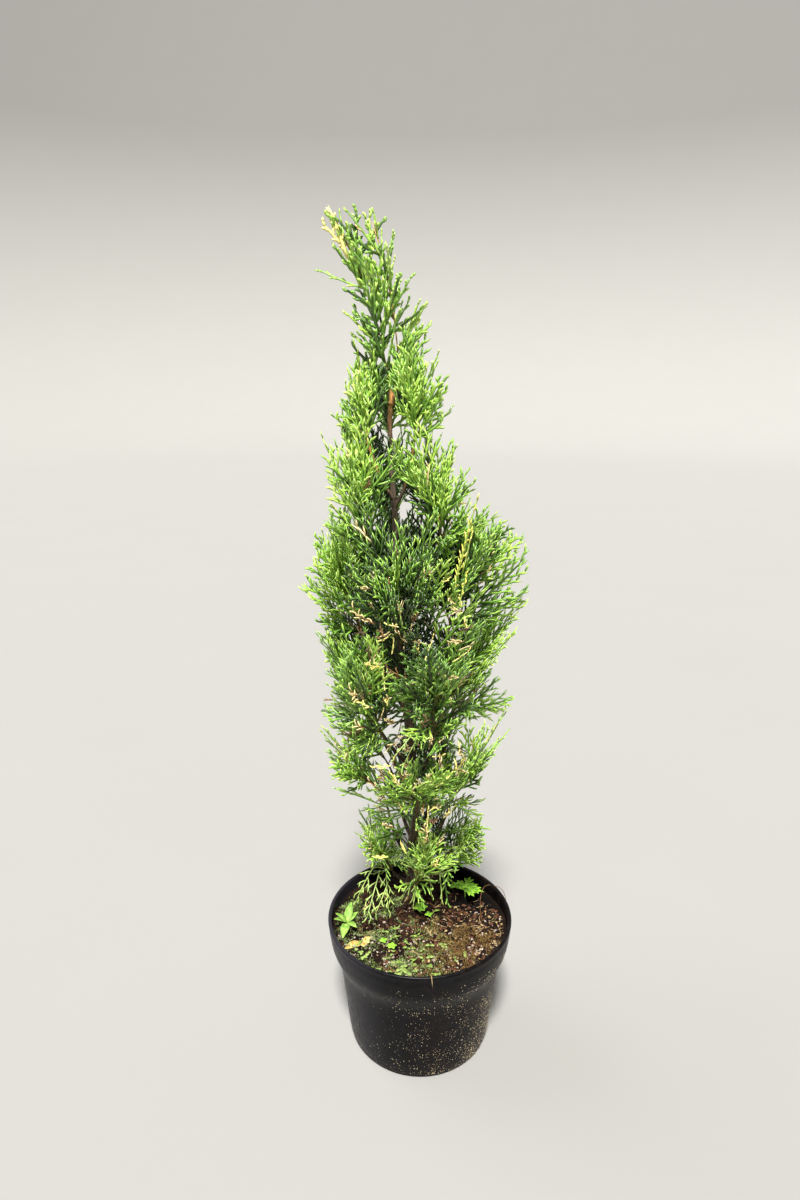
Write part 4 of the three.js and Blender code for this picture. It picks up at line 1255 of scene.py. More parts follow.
def soil_height(x, y):
    """Height of the peat's surface: heaped at the trunk, lumpy, and lower along the wall."""
    away = math.hypot(x - TRUNK_LINE[0][0], y - TRUNK_LINE[0][1])
    base = mix(SOIL["heap"], SOIL["edge"], clamp((away - SOIL["pad"]) / HEAP_OVER))
    lumps = sum(noise.noise(Vector((x, y, layer)) / size) * height for size, layer, height in LUMPS)
    edge = clamp((math.hypot(x, y) - PEAT_EDGE["from"]) / PEAT_EDGE["over"])
    hollow_x, hollow_y, reach, depth = SOIL["hollow"]
    base -= depth * math.exp(-(math.hypot(x - hollow_x, y - hollow_y) / reach) ** 2)
    return base + lumps * (1 - PEAT_EDGE["smooth"] * edge) - PEAT_EDGE["sunk"] * edge


def on_soil(x, y, lift=0.0):
    """A place on the peat's surface, or above it."""
    return Vector((x, y, soil_height(x, y) + lift))


# A crumb: its turn and tilt, its breadth and length beside its size, and how rough its corners are.
CRUMB = {"turn": 6.28, "tilt": 0.8, "broad": (0.7, 1.3), "long": (0.6, 1.1), "rough": 0.45}


def crumb_arrays(crumbs, random, flat):
    """Small rough six-cornered lumps: a place and a size for each, squashed to a share of their height."""
    corners = np.array([(1, 0, 0), (0, 1, 0), (-1, 0, 0), (0, -1, 0), (0, 0, 1), (0, 0, -1)], dtype=float)
    faces = np.array([(0, 1, 4), (1, 2, 4), (2, 3, 4), (3, 0, 4), (1, 0, 5), (2, 1, 5), (3, 2, 5), (0, 3, 5)])
    parts = []
    for place, size in crumbs:
        turn = Matrix.Rotation(random() * CRUMB["turn"], 3, "Z")
        turn = turn @ Matrix.Rotation((random() - 0.5) * CRUMB["tilt"], 3, "X")
        stretch = (size * mix(*CRUMB["broad"], random()), size * mix(*CRUMB["long"], random()), size * flat)
        jitter = np.array([[random() - 0.5 for _ in range(3)] for _ in range(6)]) * size * CRUMB["rough"]
        parts.append(((corners * np.array(stretch) + jitter) @ np.array(turn).T + np.array(place), faces))
    return joined(parts)


# The root ball's mesh: rings and steps of its top, and its gaps to the pot's wall and floor in millimetres.
PEAT_MESH = {"rings": 84, "steps": 220, "wall_gap": 0.25, "floor_gap": 0.4}


def build_soil():
    """The root ball: peat with a lumpy crumbled surface."""
    inset = POT["wall"] + PEAT_MESH["wall_gap"]
    edge = POT["rim"] - 1 - inset
    bottom = POT["floor"] + PEAT_MESH["floor_gap"]
    wall = [(radius - inset, height) for radius, height in pot_wall()]
    rings = PEAT_MESH["rings"]
    profile = [
        (0.0, bottom), (POT["foot"] - inset - 1.0, bottom), *wall[:-1], (edge, SOIL["edge"] - 2.0),
        *[(edge * (1 - step / rings), SOIL["edge"]) for step in range(rings + 1)],
    ]
    bm = spin_profile(profile, PEAT_MESH["steps"])
    for vert in bm.verts:
        if vert.co.z >= SOIL["edge"] - 0.01:
            vert.co.z = soil_height(vert.co.x, vert.co.y)
    add_piece("peat_root_ball", bm, moist_peat(), ["soil"])


# How far what is strewn on the peat stays from the trunk's middle, in millimetres.
TRUNK_CLEARANCE = 6


def scatter(random, count, radius, keep=None):
    """Places on the peat's surface, clear of the trunk and thinned by a rule."""
    places = []
    foot = TRUNK_LINE[0]
    while len(places) < count:
        angle, away = random() * 2 * math.pi, radius * math.sqrt(random())
        x, y = away * math.cos(angle), away * math.sin(angle)
        if math.hypot(x - foot[0], y - foot[1]) < TRUNK_CLEARANCE or (keep and random() > keep(x, y)):
            continue
        places.append(on_soil(x, y))
    return places


# A leaf blade: half its thickness in millimetres, and the stretch of a sine's arch that gives its outline.
LEAF = {"thick": 0.09, "from": 0.04, "over": 0.93, "belly": 0.8}


def leaf_arrays(foot, heading, length, width, fold, curl, cells, normal=None):
    """A leaf blade with a folded midrib, thin but closed: two skins that meet at the edge.

    Its face is turned up as far as its heading lets it, unless a normal is given.
    """
    normal = normal or (UP - heading * heading.z).normalized()
    side = heading.cross(normal).normalized()
    top, bottom = [], []
    for step in range(cells + 1):
        share = step / cells
        spine = foot + heading * length * share + normal * (curl * length * share**2)
        half = width * math.sin(math.pi * (LEAF["from"] + LEAF["over"] * share) ** LEAF["belly"])
        for across in (-1, 0, 1):
            place = spine + side * half * across + normal * (fold * half * abs(across))
            top.append(place + normal * LEAF["thick"])
            bottom.append(place - normal * LEAF["thick"])
    vertices = np.array([tuple(v) for v in top + bottom])
    shift = len(top)
    faces = []
    for step in range(cells):
        for column in range(2):
            a, b = step * 3 + column, step * 3 + column + 1
            c, d = a + 3, b + 3
            faces += [(a, c, d), (a, d, b)]
            faces += [(a + shift, d + shift, c + shift), (a + shift, b + shift, d + shift)]
        for column, flip in ((0, 1), (2, -1)):
            a, c = step * 3 + column, step * 3 + 3 + column
            wall = [(a, a + shift, c + shift), (a, c + shift, c)]
            faces += wall if flip > 0 else [tri[::-1] for tri in wall]
    last = cells * 3
    for a, b, flip in ((0, 1, -1), (1, 2, -1), (last, last + 1, 1), (last + 1, last + 2, 1)):
        wall = [(a, b, b + shift), (a, b + shift, a + shift)]
        faces += wall if flip < 0 else [tri[::-1] for tri in wall]
    return vertices, np.array(faces)


# Rootlets that the photograph shows plainly: two that arch to the rim on the right, and one over it in front.
THREADS = [
    ("brown", (60, 0, 112), (56, 30, 144), (74, 26, 137)),
    ("brown", (74, 26, 137), (85, 25, 138), (84.8, 13, 127)),
    ("rootlet", (7, -70, 115), (8, -93, 142), (9, -88, 117)),
]
# Kinds of crumb: size in millimetres, darker and lighter colour, and the rule that thins them.
CRUMBS = (
    ("dark", 1.1, "peat_dark", "peat_brown", None),
    ("red", 1.5, "chip_red", "chip_brown", lambda x, y: clamp(0.25 + (x + 30) / 90) * clamp(0.9 - y / 60)),
    ("gold", 1.0, "chip_gold", "chip_pale", lambda x, y: clamp(0.2 + (x + 40) / 110) * clamp(0.8 - y / 50)),
    ("pale", 1.0, "chip_pink", "chip_grey", lambda x, y: clamp(0.45 - y / 60)),
)
# Darker and lighter colour of each kind of shoot on the peat.
COVER_COLORS = {
    "moss": ("moss_dark", "moss_light"),
    "moss_pale": ("moss_light", "moss_pale"),
    "moss_gold": ("moss_brown", "moss_gold"),
    "straw": ("chip_gold", "chip_pale"),
    "brown": ("chip_red", "chip_gold"),
    "shed_green": ("moss_light", "sprout_light"),
    "rootlet": ("chip_gold", "chip_pale"),
}
SHED_COLORS = ("straw", "brown", "brown", "shed_green")

# What covers the peat, in millimetres and shares. Each reaches so far from the pot's middle.
STREWN_CRUMBS = {"reach": 80, "lift": 0.3, "sizes": (0.4, 1.9), "small": 2.2, "flat": 0.5}
MOSS = {
    "reach": 81, "steep": 0.9, "gold_from": 8, "gold_over": 50, "least": 1.0, "most": 3.0, "gold_more": 2.5,
    "pale": 0.45, "sunk": 0.3, "width": 0.32, "thick": 0.26,
}
SHED = {"reach": 76, "length": (5, 13), "level": 0.35, "slope": 0.3}
ROOTLET = {
    "reach": 74, "length": (10, 34), "edge": 79, "lift": 1.4, "swing": 0.6, "arch": 2.2, "width": 0.34,
    "thick": 0.3,
}
THREAD = {"width": 0.4, "thick": 0.36}
# A shed shoot: its bow, the pitch, headings and lengths of its side shoots, and how thick both are.
LITTER = {
    "bow": 0.12, "pitch": 5, "ahead": 0.78, "aside": 0.6, "reach": (3, 6.5), "stem": (0.8, 0.45),
    "side": (0.75, 0.4),
}
SEEDLING = {"reach": 79, "more": 1.6, "size": (0.9, 1.9), "stalk": (1.0, 3.4), "length": 2.6}


def mossy(x, y):
    """How mossy the peat is: in patches, green along the front and left, and brown-gold on the right."""
    patch = noise.noise(Vector((x, y, 21.0)) / 15.0) + 0.7 * noise.noise(Vector((x, y, 5.0)) / 5.0)
    bare = 0.7 * clamp((y + 0.4 * x - 5) / 30) - 0.25 * clamp((-x - 5) / 40)
    return clamp((patch + 0.02 - 0.005 * y - bare) * 2.4)


def by_rim(x, y):
    """How thick the seed leaves stand: along the front and left of the rim."""
    return clamp(-(y + 22) / 45) * clamp(0.9 - x / 60)


def build_soil_cover():
    """What lies and grows on the peat: bark crumbs, moss, shed shoots, rootlets and small weeds."""
    look = settings().soil
    random = random_stream(7001)
    for kind, size, dark, light, keep in CRUMBS:
        places = scatter(random, getattr(look, f"crumbs_{kind}"), STREWN_CRUMBS["reach"], keep)
        crumbs = [
            (place + UP * STREWN_CRUMBS["lift"],
             size * mix(*STREWN_CRUMBS["sizes"], random() ** STREWN_CRUMBS["small"]))
            for place in places
        ]
        matter = plain_matter(f"bark_crumb_{kind}", getattr(look, dark), getattr(look, light), 1.6)
        lumps = crumb_arrays(crumbs, random, STREWN_CRUMBS["flat"])
        add_piece(f"bark_crumbs_{kind}", lumps, matter, smooth=False)

    # Moss: short tufts that lean a little, longer where they are gold.
    box = ShootBox()
    for place in scatter(random, look.moss_tufts, MOSS["reach"], mossy):
        lean = Vector((random() - 0.5, random() - 0.5, MOSS["steep"])).normalized()
        golden = clamp(0.5 + (place.x - MOSS["gold_from"]) / MOSS["gold_over"])
        height = mix(MOSS["least"], MOSS["most"] + MOSS["gold_more"] * golden, random())
        tone = "moss_gold" if random() < golden else ("moss_pale" if random() < MOSS["pale"] else "moss")
        box.add(tone, 2, place - UP * MOSS["sunk"], place + lean * height * 0.5, place + lean * height,
                lean.orthogonal().normalized(), MOSS["width"], MOSS["thick"])

    # Shed shoots: short dry bits of spray that lie flat.
    for place in scatter(random, look.shed_shoots, SHED["reach"], lambda x, y: clamp(0.4 - x / 130)):
        turn = random() * 360
        heading = (outward(turn) + UP * (random() - SHED["level"]) * SHED["slope"]).normalized()
        across = UP.cross(heading).normalized()
        axes = (heading, across, heading.cross(across))
        color = SHED_COLORS[int(random() * len(SHED_COLORS))]
        add_litter(box, place + UP, axes, mix(*SHED["length"], random()), color, random)

    # Rootlets and dry stalks: thin pale threads that lie bent on the surface.
    for place in scatter(random, look.rootlets, ROOTLET["reach"], lambda x, y: clamp(0.35 + x / 100)):
        turn = random() * 360
        length = mix(*ROOTLET["length"], random())
        tip = place + outward(turn) * length
        tip *= min(1.0, ROOTLET["edge"] / math.hypot(tip.x, tip.y))
        tip.z = soil_height(tip.x, tip.y) + ROOTLET["lift"] * random()
        aside = outward(turn + 90) * length * (random() - 0.5) * ROOTLET["swing"]
        bend = (place + tip) * 0.5 + aside + UP * ROOTLET["arch"] * random()
        box.add("rootlet", 6, place, bend, tip, UP, ROOTLET["width"], ROOTLET["thick"])
    for color, foot, bend, tip in THREADS:
        box.add(color, 6, Vector(foot), Vector(bend), Vector(tip), UP, THREAD["width"], THREAD["thick"])
    for color, shoots in sorted(box.by_color.items()):
        tones = [getattr(look, name) for name in COVER_COLORS[color]]
        shoot_pieces(f"cover_{color}", shoots, plain_matter(f"cover_{color}", *tones, 2.0))

    build_weeds(random)


def add_litter(box, place, axes, length, color, random):
    """A short shed shoot with a few side shoots."""
    heading, across, normal = axes
    end = place + heading * length
    middle = (place + end) * 0.5 + across * length * LITTER["bow"] * (random() - 0.5)
    box.add(color, 3, place, middle, end, normal, *LITTER["stem"])
    count = max(2, int(length / LITTER["pitch"]))
    for index in range(count):
        root = place + heading * (length * (index + 0.5) / count)
        side = 1 if index % 2 else -1
        direction = heading * LITTER["ahead"] + across * side * LITTER["aside"]
        stop = root + direction * mix(*LITTER["reach"], random())
        box.add(color, 2, root, (root + stop) * 0.5, stop, normal, *LITTER["side"])


# The sprout: its place, and the turn, rise, length and width of its leaves, in degrees and millimetres.
SPROUT_PLACE = (-69, -8)
SPROUT_LEAVES = (
    (172, 48, 14, 3.4), (205, 40, 15, 3.6), (262, 4, 20, 4.2), (78, 42, 19, 4.0), (40, 30, 14, 3.4),
    (318, 14, 13, 3.2),
)
# The dead leaf: its place, and the turn, length and width of its blades.
DEAD_PLACE = (-54, -28)
DEAD_BLADES = ((215, 18, 4.6), (15, 12, 4.6), (300, 9, 3.0))
# Small round-leaved weeds: place, leaflets, stalk and size of a leaflet.
CLOVERS = [
    (1, 6, 6, 7, 3.0), (-2, 27, 5, 8, 2.6), (9, 3, 4, 4, 1.8), (-26, -40, 5, 5, 1.9), (-34, -30, 4, 4, 1.7),
]
# The lobed weed at the back: place, turns of its leaves, their two lengths, and turns of their side lobes.
LOBED_PLACE = (48, 46)
LOBED_TURNS = (-60, -20, 25, 70, 120, 165)
LOBED_LENGTHS = (13, 17)
SIDE_LOBES = (-38, 38)
# Fold, curl and cells of each kind of leaf.
LEAF_FORMS = {
    "sprout": (0.35, -0.16, 7), "dead": (0.5, 0.08, 7), "clover": (0.2, -0.1, 5), "seedling": (0.3, -0.2, 4),
    "lobed": (0.25, -0.2, 7), "side_lobe": (0.25, -0.15, 5),
}
BACK = Vector((0.0, 1.0, 0.0))


def leaf_heading(turn, rise):
    """Which way a leaf points that rises by a share of its reach."""
    return (outward(turn) + UP * rise).normalized()


def add_stalk(box, foot, bend, tip, thick):
    box.add("stalk", 3, foot, bend, tip, BACK, thick, thick)


def build_weeds(random):
    """The weeds and a dead leaf: a fresh sprout on the left, round leaflets, and lobed leaves behind."""
    look = settings().soil
    sprout, dead, clover, seedlings = [], [], [], []
    stalks = ShootBox()
    base = on_soil(*SPROUT_PLACE, 3.0)
    for turn, rise, length, width in SPROUT_LEAVES:
        tilt = math.radians(rise)
        heading = outward(turn) * math.cos(tilt) + UP * math.sin(tilt)
        sprout.append(leaf_arrays(base + UP * 3.0, heading, length, width, *LEAF_FORMS["sprout"]))
    for turn, length, width in DEAD_BLADES:
        heading = leaf_heading(turn, 0.05)
        foot = on_soil(*DEAD_PLACE, 1.6)
        dead.append(leaf_arrays(foot, heading, length, width, *LEAF_FORMS["dead"], normal=UP))
    for x, y, count, stalk, size in CLOVERS:
        middle = on_soil(x, y, stalk)
        for index in range(count):
            heading = leaf_heading(360 / count * index + 25 * random(), 0.25)
            clover.append(leaf_arrays(middle, heading, size * 2.4, size, *LEAF_FORMS["clover"]))

    # Round seed leaves in pairs, low along the front and left of the rim.
    for place in scatter(random, look.seedlings, SEEDLING["reach"], by_rim):
        turn = 360 * random()
        for swing in (0, 180, 90)[:2 + int(random() * SEEDLING["more"])]:
            heading = leaf_heading(turn + swing, 0.15)
            size = mix(*SEEDLING["size"], random())
            foot = place + UP * mix(*SEEDLING["stalk"], random())
            length = size * SEEDLING["length"]
            seedlings.append(leaf_arrays(foot, heading, length, size, *LEAF_FORMS["seedling"]))

    back = on_soil(*LOBED_PLACE, 11)
    for index, turn in enumerate(LOBED_TURNS):
        heading = leaf_heading(turn, 0.32)
        foot = back + outward(turn) * 2
        size = LOBED_LENGTHS[index % 2]
        clover.append(leaf_arrays(foot, heading, size, 2.9, *LEAF_FORMS["lobed"]))
        for swing in SIDE_LOBES:
            lobe = leaf_heading(turn + swing, 0.2)
            root = foot + heading * size * 0.4
            clover.append(leaf_arrays(root, lobe, size * 0.5, 1.9, *LEAF_FORMS["side_lobe"]))
    for name, parts, dark, light in (
        ("sprout", sprout, look.sprout_dark, look.sprout_light),
        ("dead_leaf", dead, look.dead_dark, look.dead_light),
        ("small_weeds", clover, look.weed_dark, look.weed_light),
        ("seedlings", seedlings, look.moss_light, look.seedling_light),
    ):
        leaf = plain_matter(f"leaf_{name}", dark, light, 4.0, 0.55, 0.1)
        add_piece(f"cover_{name}", joined(parts), leaf)

    # Stalks of the sprout, the lobed weed and the round ones, and from the lobed weed's middle to its leaves.
    for foot, tip in ((base - UP, base + UP * 3.2), (back - UP * 12, back + UP)):
        add_stalk(stalks, foot, (foot + tip) * 0.5, tip, 0.7)
    for x, y, _, stalk, _ in CLOVERS:
        foot = on_soil(x, y, -0.5)
        tip = foot + UP * (stalk + 0.6)
        add_stalk(stalks, foot, (foot + tip) * 0.5, tip, 0.4)
    for turn in LOBED_TURNS:
        add_stalk(stalks, back - UP * 11, back, back + outward(turn) * 2.6, 0.5)
    for color, shoots in stalks.by_color.items():
        matter = plain_matter("weed_stalk", look.weed_dark, look.sprout_light, 3.0)
        shoot_pieces(f"cover_{color}", shoots, matter)


# Stage


def add_soft_sun(name, azimuth, elevation, spread, strength, color):
    """A broad even light from far off: azimuth and elevation of its source, and its spread, in degrees."""
    light = bpy.data.lights.new(name, "SUN")
    light.angle = math.radians(spread)
    light.energy = strength
    light.color = color
    obj = bpy.data.objects.new(name, light)
    source = outward(azimuth) * math.cos(math.radians(elevation)) + UP * math.sin(math.radians(elevation))
    obj.rotation_euler = source.to_track_quat("Z", "Y").to_euler()
    bpy.context.collection.objects.link(obj)


def build_stage():
    """Camera, pale seamless floor and soft light."""
    look = settings().stage
    data = bpy.data.cameras.new("camera")
    data.sensor_fit = "VERTICAL"
    data.sensor_height = look.sensor / MM
    data.lens = look.focal_px / look.frame_px * look.sensor / MM
    camera = bpy.data.objects.new("camera", data)
    camera.location = look.camera_place
    camera.rotation_euler = (math.pi / 2 - look.camera_pitch, 0.0, 0.0)
    bpy.context.collection.objects.link(camera)
    bpy.context.scene.camera = camera

    # The paper's own shadow is off, so that its rise behind the plant leaves no dark edge.
    radius, curve = look.floor_radius / MM, look.floor_curve / MM
    paper = [(0.0, 0.0), (radius, 0.0), *arc((radius, curve), curve, -90, 0, 24), (radius + curve, 2 * curve)]
    bm = spin_profile(paper, 96)
    bmesh.ops.reverse_faces(bm, faces=bm.faces)
    floor = new_object("studio_floor", bm, studio_paper())
    floor.visible_shadow = False

    world = bpy.data.worlds.new("soft_sky")
    world.use_nodes = True
    background = world.node_tree.nodes["Background"]
    background.inputs["Color"].default_value = look.sky
    background.inputs["Strength"].default_value = look.sky_strength
    bpy.context.scene.world = world
    bpy.context.scene.view_settings.view_transform = "Standard"
    add_soft_sun("overhead_softbox", 266, 62, 9, look.key_strength, (1.0, 0.985, 0.95))
    add_soft_sun("side_softbox", 158, 42, 50, look.fill_strength, (0.93, 0.96, 1.0))


# Settings, operators and panel


def color_property(name, hex_value, description):
    return bpy.props.FloatVectorProperty(
        name=name, description=description, default=linear(hex_value), subtype="COLOR", size=4,
        min=0.0, max=1.0)


def length_property(name, millimetres, description):
    return bpy.props.FloatProperty(
        name=name, description=description, default=millimetres * MM, unit="LENGTH")


def count_property(name, count, description, least=0):
    return bpy.props.IntProperty(name=name, description=description, default=count, min=least)


def share_property(name, share, description):
    return bpy.props.FloatProperty(name=name, description=description, default=share, subtype="FACTOR")


def strength_property(name, strength, description):
    return bpy.props.FloatProperty(name=name, description=description, default=strength, min=0.0)


class ThujaPotSettings(bpy.types.PropertyGroup):
    plastic: color_property("Plastic", "#050506", "Black of the moulded plastic")
    scuff: color_property("Scuff", "#121116", "Greyer black where the plastic is rubbed")
    # Painted sheen: a grey painted reflection on the pot's left side.
    painted_sheen: color_property("Painted sheen", "#26242B", "Thin grey film on the left")
    dust: color_property("Dust", "#6E4A32", "Brown dust and dried splashes")
    sand_dark: color_property("Sand, dark", "#74634E", "Darker grains of sand")
    sand_light: color_property("Sand, light", "#B8A98C", "Lighter grains of sand")
    grains: count_property("Grains", 3000, "Grains of sand stuck to the pot")


class ThujaSoilSettings(bpy.types.PropertyGroup):
    # Wet peat darkened further as painted shade, low in the peat's hollows.
    wet_peat_and_shade: color_property("Peat, wet", "#070504", "Wet peat at the bottom of the hollows")
    peat_dark: color_property("Peat, dark", "#0E0906", "Moist peat in the hollows")
    peat_brown: color_property("Peat, brown", "#22150D", "Drier peat on the lumps")
    peat_warm: color_property("Peat, warm", "#3A2416", "Reddish fibrous peat")
    chip_red: color_property("Chip, red", "#402419", "Reddish bark crumbs")
    chip_brown: color_property("Chip, brown", "#5C3A23", "Brown bark crumbs")
    chip_gold: color_property("Chip, golden", "#785A34", "Golden bark crumbs")
    chip_pale: color_property("Chip, pale", "#B4A074", "Pale straw")
    moss_dark: color_property("Moss, dark", "#2C3C12", "Moss in shade")
    moss_light: color_property("Moss, light", "#627632", "Living moss")
    moss_pale: color_property("Moss, pale", "#969E76", "Dry moss tips")
    moss_brown: color_property("Moss, brown", "#34240F", "Old stalks of the moss")
    moss_gold: color_property("Moss, golden", "#7E6434", "Golden capsules of the moss")
    chip_pink: color_property("Chip, pink", "#78625A", "Pinkish fibres")
    chip_grey: color_property("Chip, grey", "#B8AD9E", "Grey, weathered bits")
    sprout_dark: color_property("Sprout, dark", "#54802C", "Shaded side of the sprout's leaves")
    sprout_light: color_property("Sprout, light", "#94B254", "Lit side of the sprout's leaves")
    seedling_light: color_property("Seed leaves", "#96AA5E", "Lit seed leaves along the rim")
    weed_dark: color_property("Weed, dark", "#5A9026", "Leaves of the small weeds")
    weed_light: color_property("Weed, light", "#98C83E", "Young leaves of the small weeds")
    dead_dark: color_property("Dead leaf, dark", "#A8842C", "Yellow-brown of the dead leaf")
    dead_light: color_property("Dead leaf, light", "#DCC787", "Pale tip of the dead leaf")
    crumbs_dark: count_property("Dark crumbs", 1500, "Count of peat crumbs")
    crumbs_red: count_property("Red crumbs", 620, "Count of reddish bark crumbs")
    crumbs_gold: count_property("Gold crumbs", 520, "Count of golden bark crumbs")
    crumbs_pale: count_property("Pale crumbs", 560, "Count of weathered bits")
    seedlings: count_property("Seedlings", 36, "Count of round seed leaves")
    moss_tufts: count_property("Moss tufts", 8500, "Count of moss tufts")
    shed_shoots: count_property("Shed shoots", 64, "Count of dry shoots")
    rootlets: count_property("Rootlets", 34, "Count of pale threads")


class ThujaLimbSettings(bpy.types.PropertyGroup):
    bark_dark: color_property("Bark, cracks", "#2A2019", "Cracks of the old bark")
    bark_grey: color_property("Bark, grey", "#6A5847", "Weathered strands of the old bark")
    bark_brown: color_property("Bark, brown", "#8A5E34", "Young bark in shade")
    bark_orange: color_property("Bark, orange", "#D09A5C", "Young bark in light")


class ThujaFoliageSettings(bpy.types.PropertyGroup):
    seed: count_property("Seed", 20231, "Seed of the colours and curls", 1)
    fill_twigs: count_property("Fill twigs", 8, "Twigs between a mass's main ones")
    fine_twigs: count_property("Fine twigs", 12, "Smallest twigs of a mass")
    pitch: length_property("Branchlet pitch", 4.7, "Distance between branchlets along a spray")
    fork_pitch: length_property("Fork pitch", 7.2, "Distance between forks along a branchlet")
    shoot_width: length_property("Shoot width", 1.9, "Width of a scale-leaved shoot")
    shoot_thickness: length_property("Shoot thickness", 1.05, "Thickness of a scale-leaved shoot")
    rise: share_property("Rise", 0.4, "How much a level spray bends up, as a share of its length")
    fine_slack: length_property("Fine slack", 26.0, "How far the finest twigs grow past their mass's space")
    fine_gap: share_property("Fine gap", 0.6, "Size of a gap that the finest twigs leave")
    plume_breadth: share_property("Plume breadth", 0.5, "Breadth of the leading shoots' sprays")
    dry_bits: count_property("Dry bits", 7, "Small dry bits caught in the crown, in fives")
    light_forks: share_property("Light forks", 0.55, "Share of forks a shade lighter")
    shade_dark: color_property("Shade, dark", "#0C1B04", "Shoots by the trunk")
    shade_light: color_property("Shade, light", "#1D340A", "Shoots by the trunk, lit")
    deep_dark: color_property("Deep, dark", "#2B4A10", "Shaded inner shoots")
    deep_light: color_property("Deep, light", "#52781F", "Lit inner shoots")
    mid_dark: color_property("Mid, dark", "#5A8A2C", "Grown shoots in shade")
    mid_light: color_property("Mid, light", "#96C04C", "Grown shoots in light")
    fresh_dark: color_property("Fresh, dark", "#78A434", "Outer shoots in shade")
    fresh_light: color_property("Fresh, light", "#AED052", "Outer shoots in light")
    tips_dark: color_property("Tips, dark", "#92BC42", "Young tips in shade")
    tips_light: color_property("Tips, light", "#C6DC74", "Young tips in light")
    yellow_dark: color_property("Yellow, dark", "#CFC23C", "Yellow sprays in shade")
    yellow_light: color_property("Yellow, light", "#F2E870", "Yellow sprays in light")
    cream_dark: color_property("Cream, dark", "#D8CA64", "Cream shoot tips in shade")
    cream_light: color_property("Cream, light", "#F4E996", "Cream shoot tips in light")
    low_dark: color_property("Low fronds, dark", "#6F8E3A", "Pale fronds that hang over the peat, in shade")
    low_light: color_property("Low fronds, light", "#A9BE64", "Pale fronds that hang over the peat, in light")
    straw_dark: color_property("Straw, dark", "#C2AE6E", "Dry sprays in shade")
    straw_light: color_property("Straw, light", "#E6D3A0", "Dry sprays in light")
    brown_dark: color_property("Brown, dark", "#4F351E", "Dead shoots in shade")
    brown_light: color_property("Brown, light", "#8C6438", "Dead shoots in light")
    wood: color_property("Wood", "#6B4527", "Brown wood of the stems")
    old_wood: color_property("Old wood", "#3E2D20", "Dark wood of the low stems")
    tan_wood: color_property("Tan wood", "#A8763A", "Shaded young wood")
    young_wood: color_property("Young wood", "#D6A05A", "Orange-brown wood of the upper stems")
    green_wood: color_property("Green wood", "#7C8436", "Green-brown wood of the twigs")


class ThujaStageSettings(bpy.types.PropertyGroup):
    camera_place: bpy.props.FloatVectorProperty(
        name="Camera place", description="Where the photograph was taken from",
        default=VIEWPOINT * MM, subtype="TRANSLATION", unit="LENGTH")
    camera_pitch: bpy.props.FloatProperty(
        name="Camera pitch", description="How far the camera looks down",
        default=math.radians(15.24), unit="ROTATION")
    focal_px: bpy.props.FloatProperty(
        name="Focal length", description="In pixels of the photograph", default=760.0, subtype="PIXEL")
    frame_px: bpy.props.FloatProperty(
        name="Frame height", description="In pixels of the photograph", default=1200.0, subtype="PIXEL")
    sensor: length_property("Sensor height", 36.0, "Height of the camera's sensor")
    floor_radius: length_property("Floor radius", 7000.0, "Radius of the flat part of the floor")
    floor_curve: length_property("Floor curve", 4000.0, "Radius of the curve up to the backdrop")
    paper: color_property("Paper", "#8A8986", "Pale floor and backdrop")
    sky: color_property("Sky", "#F3F3EF", "Soft light from all round")
    sky_strength: strength_property("Sky strength", 0.22, "Strength of the soft light from all round")
    key_strength: strength_property("Key strength", 8.8, "Strength of the overhead light")
    fill_strength: strength_property("Fill strength", 1.7, "Strength of the side light")


class PottedThujaSettings(bpy.types.PropertyGroup):
    pot: bpy.props.PointerProperty(type=ThujaPotSettings)
    soil: bpy.props.PointerProperty(type=ThujaSoilSettings)
    limbs: bpy.props.PointerProperty(type=ThujaLimbSettings)
    foliage: bpy.props.PointerProperty(type=ThujaFoliageSettings)
    stage: bpy.props.PointerProperty(type=ThujaStageSettings)


class THUJA_OT_stage(bpy.types.Operator):
    """Add the camera, the floor and the lights"""

    bl_idname = "thuja.stage"
    bl_label = "Stage"

    def execute(self, context):
        build_stage()
        return {"FINISHED"}


class THUJA_OT_pot(bpy.types.Operator):
    """Add the pot and the sand stuck to it"""

    bl_idname = "thuja.pot"
    bl_label = "Pot"

    def execute(self, context):
        build_pot()
        return {"FINISHED"}


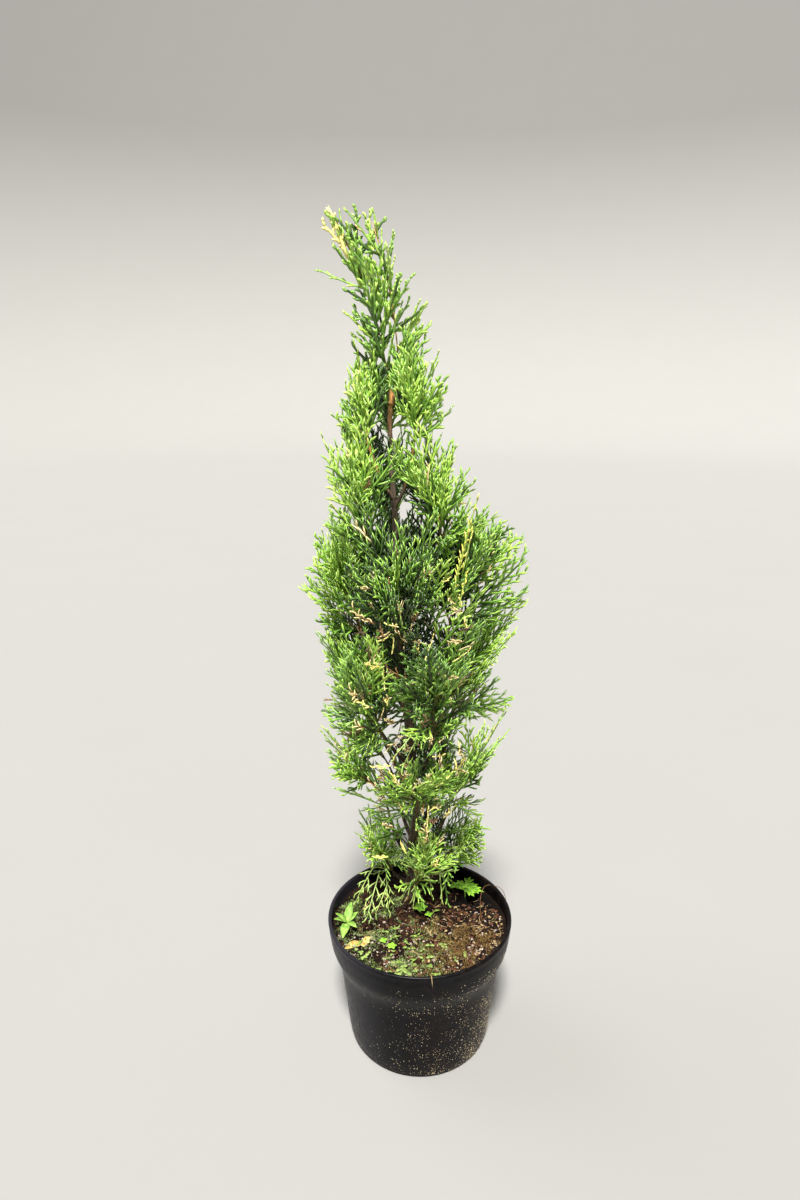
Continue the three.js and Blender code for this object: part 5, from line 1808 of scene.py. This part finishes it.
class THUJA_OT_soil(bpy.types.Operator):
    """Add the root ball of peat"""

    bl_idname = "thuja.soil"
    bl_label = "Root Ball"

    def execute(self, context):
        build_soil()
        return {"FINISHED"}


class THUJA_OT_soil_cover(bpy.types.Operator):
    """Add the crumbs, moss, shed shoots and weeds on the peat"""

    bl_idname = "thuja.soil_cover"
    bl_label = "Soil Cover"

    def execute(self, context):
        build_soil_cover()
        return {"FINISHED"}


class THUJA_OT_limbs(bpy.types.Operator):
    """Add the trunk and the boughs with their bark"""

    bl_idname = "thuja.limbs"
    bl_label = "Trunk and Boughs"

    def execute(self, context):
        build_limbs()
        return {"FINISHED"}


class THUJA_OT_foliage(bpy.types.Operator):
    """Add the stems, twigs and sprays of every mass"""

    bl_idname = "thuja.foliage"
    bl_label = "Foliage"

    def execute(self, context):
        build_foliage()
        return {"FINISHED"}


OPERATORS = (
    THUJA_OT_stage, THUJA_OT_pot, THUJA_OT_soil, THUJA_OT_soil_cover, THUJA_OT_limbs, THUJA_OT_foliage,
)


class THUJA_PT_panel(bpy.types.Panel):
    """Lists the operators that build the plant"""

    bl_idname = "THUJA_PT_panel"
    bl_label = "Potted Thuja"
    bl_space_type = "VIEW_3D"
    bl_region_type = "UI"
    bl_category = "Potted Thuja"

    def draw(self, context):
        for operator in OPERATORS:
            self.layout.operator(operator.bl_idname)


CLASSES = (
    ThujaPotSettings, ThujaSoilSettings, ThujaLimbSettings, ThujaFoliageSettings, ThujaStageSettings,
    PottedThujaSettings, *OPERATORS, THUJA_PT_panel,
)


def register():
    for cls in CLASSES:
        bpy.utils.register_class(cls)
    bpy.types.Scene.potted_thuja = bpy.props.PointerProperty(type=PottedThujaSettings)


def unregister():
    del bpy.types.Scene.potted_thuja
    for cls in reversed(CLASSES):
        bpy.utils.unregister_class(cls)


def main():
    register()
    bpy.ops.thuja.stage()
    bpy.ops.thuja.pot()
    bpy.ops.thuja.soil()
    bpy.ops.thuja.soil_cover()
    bpy.ops.thuja.limbs()
    bpy.ops.thuja.foliage()


if __name__ == "__main__":
    main()
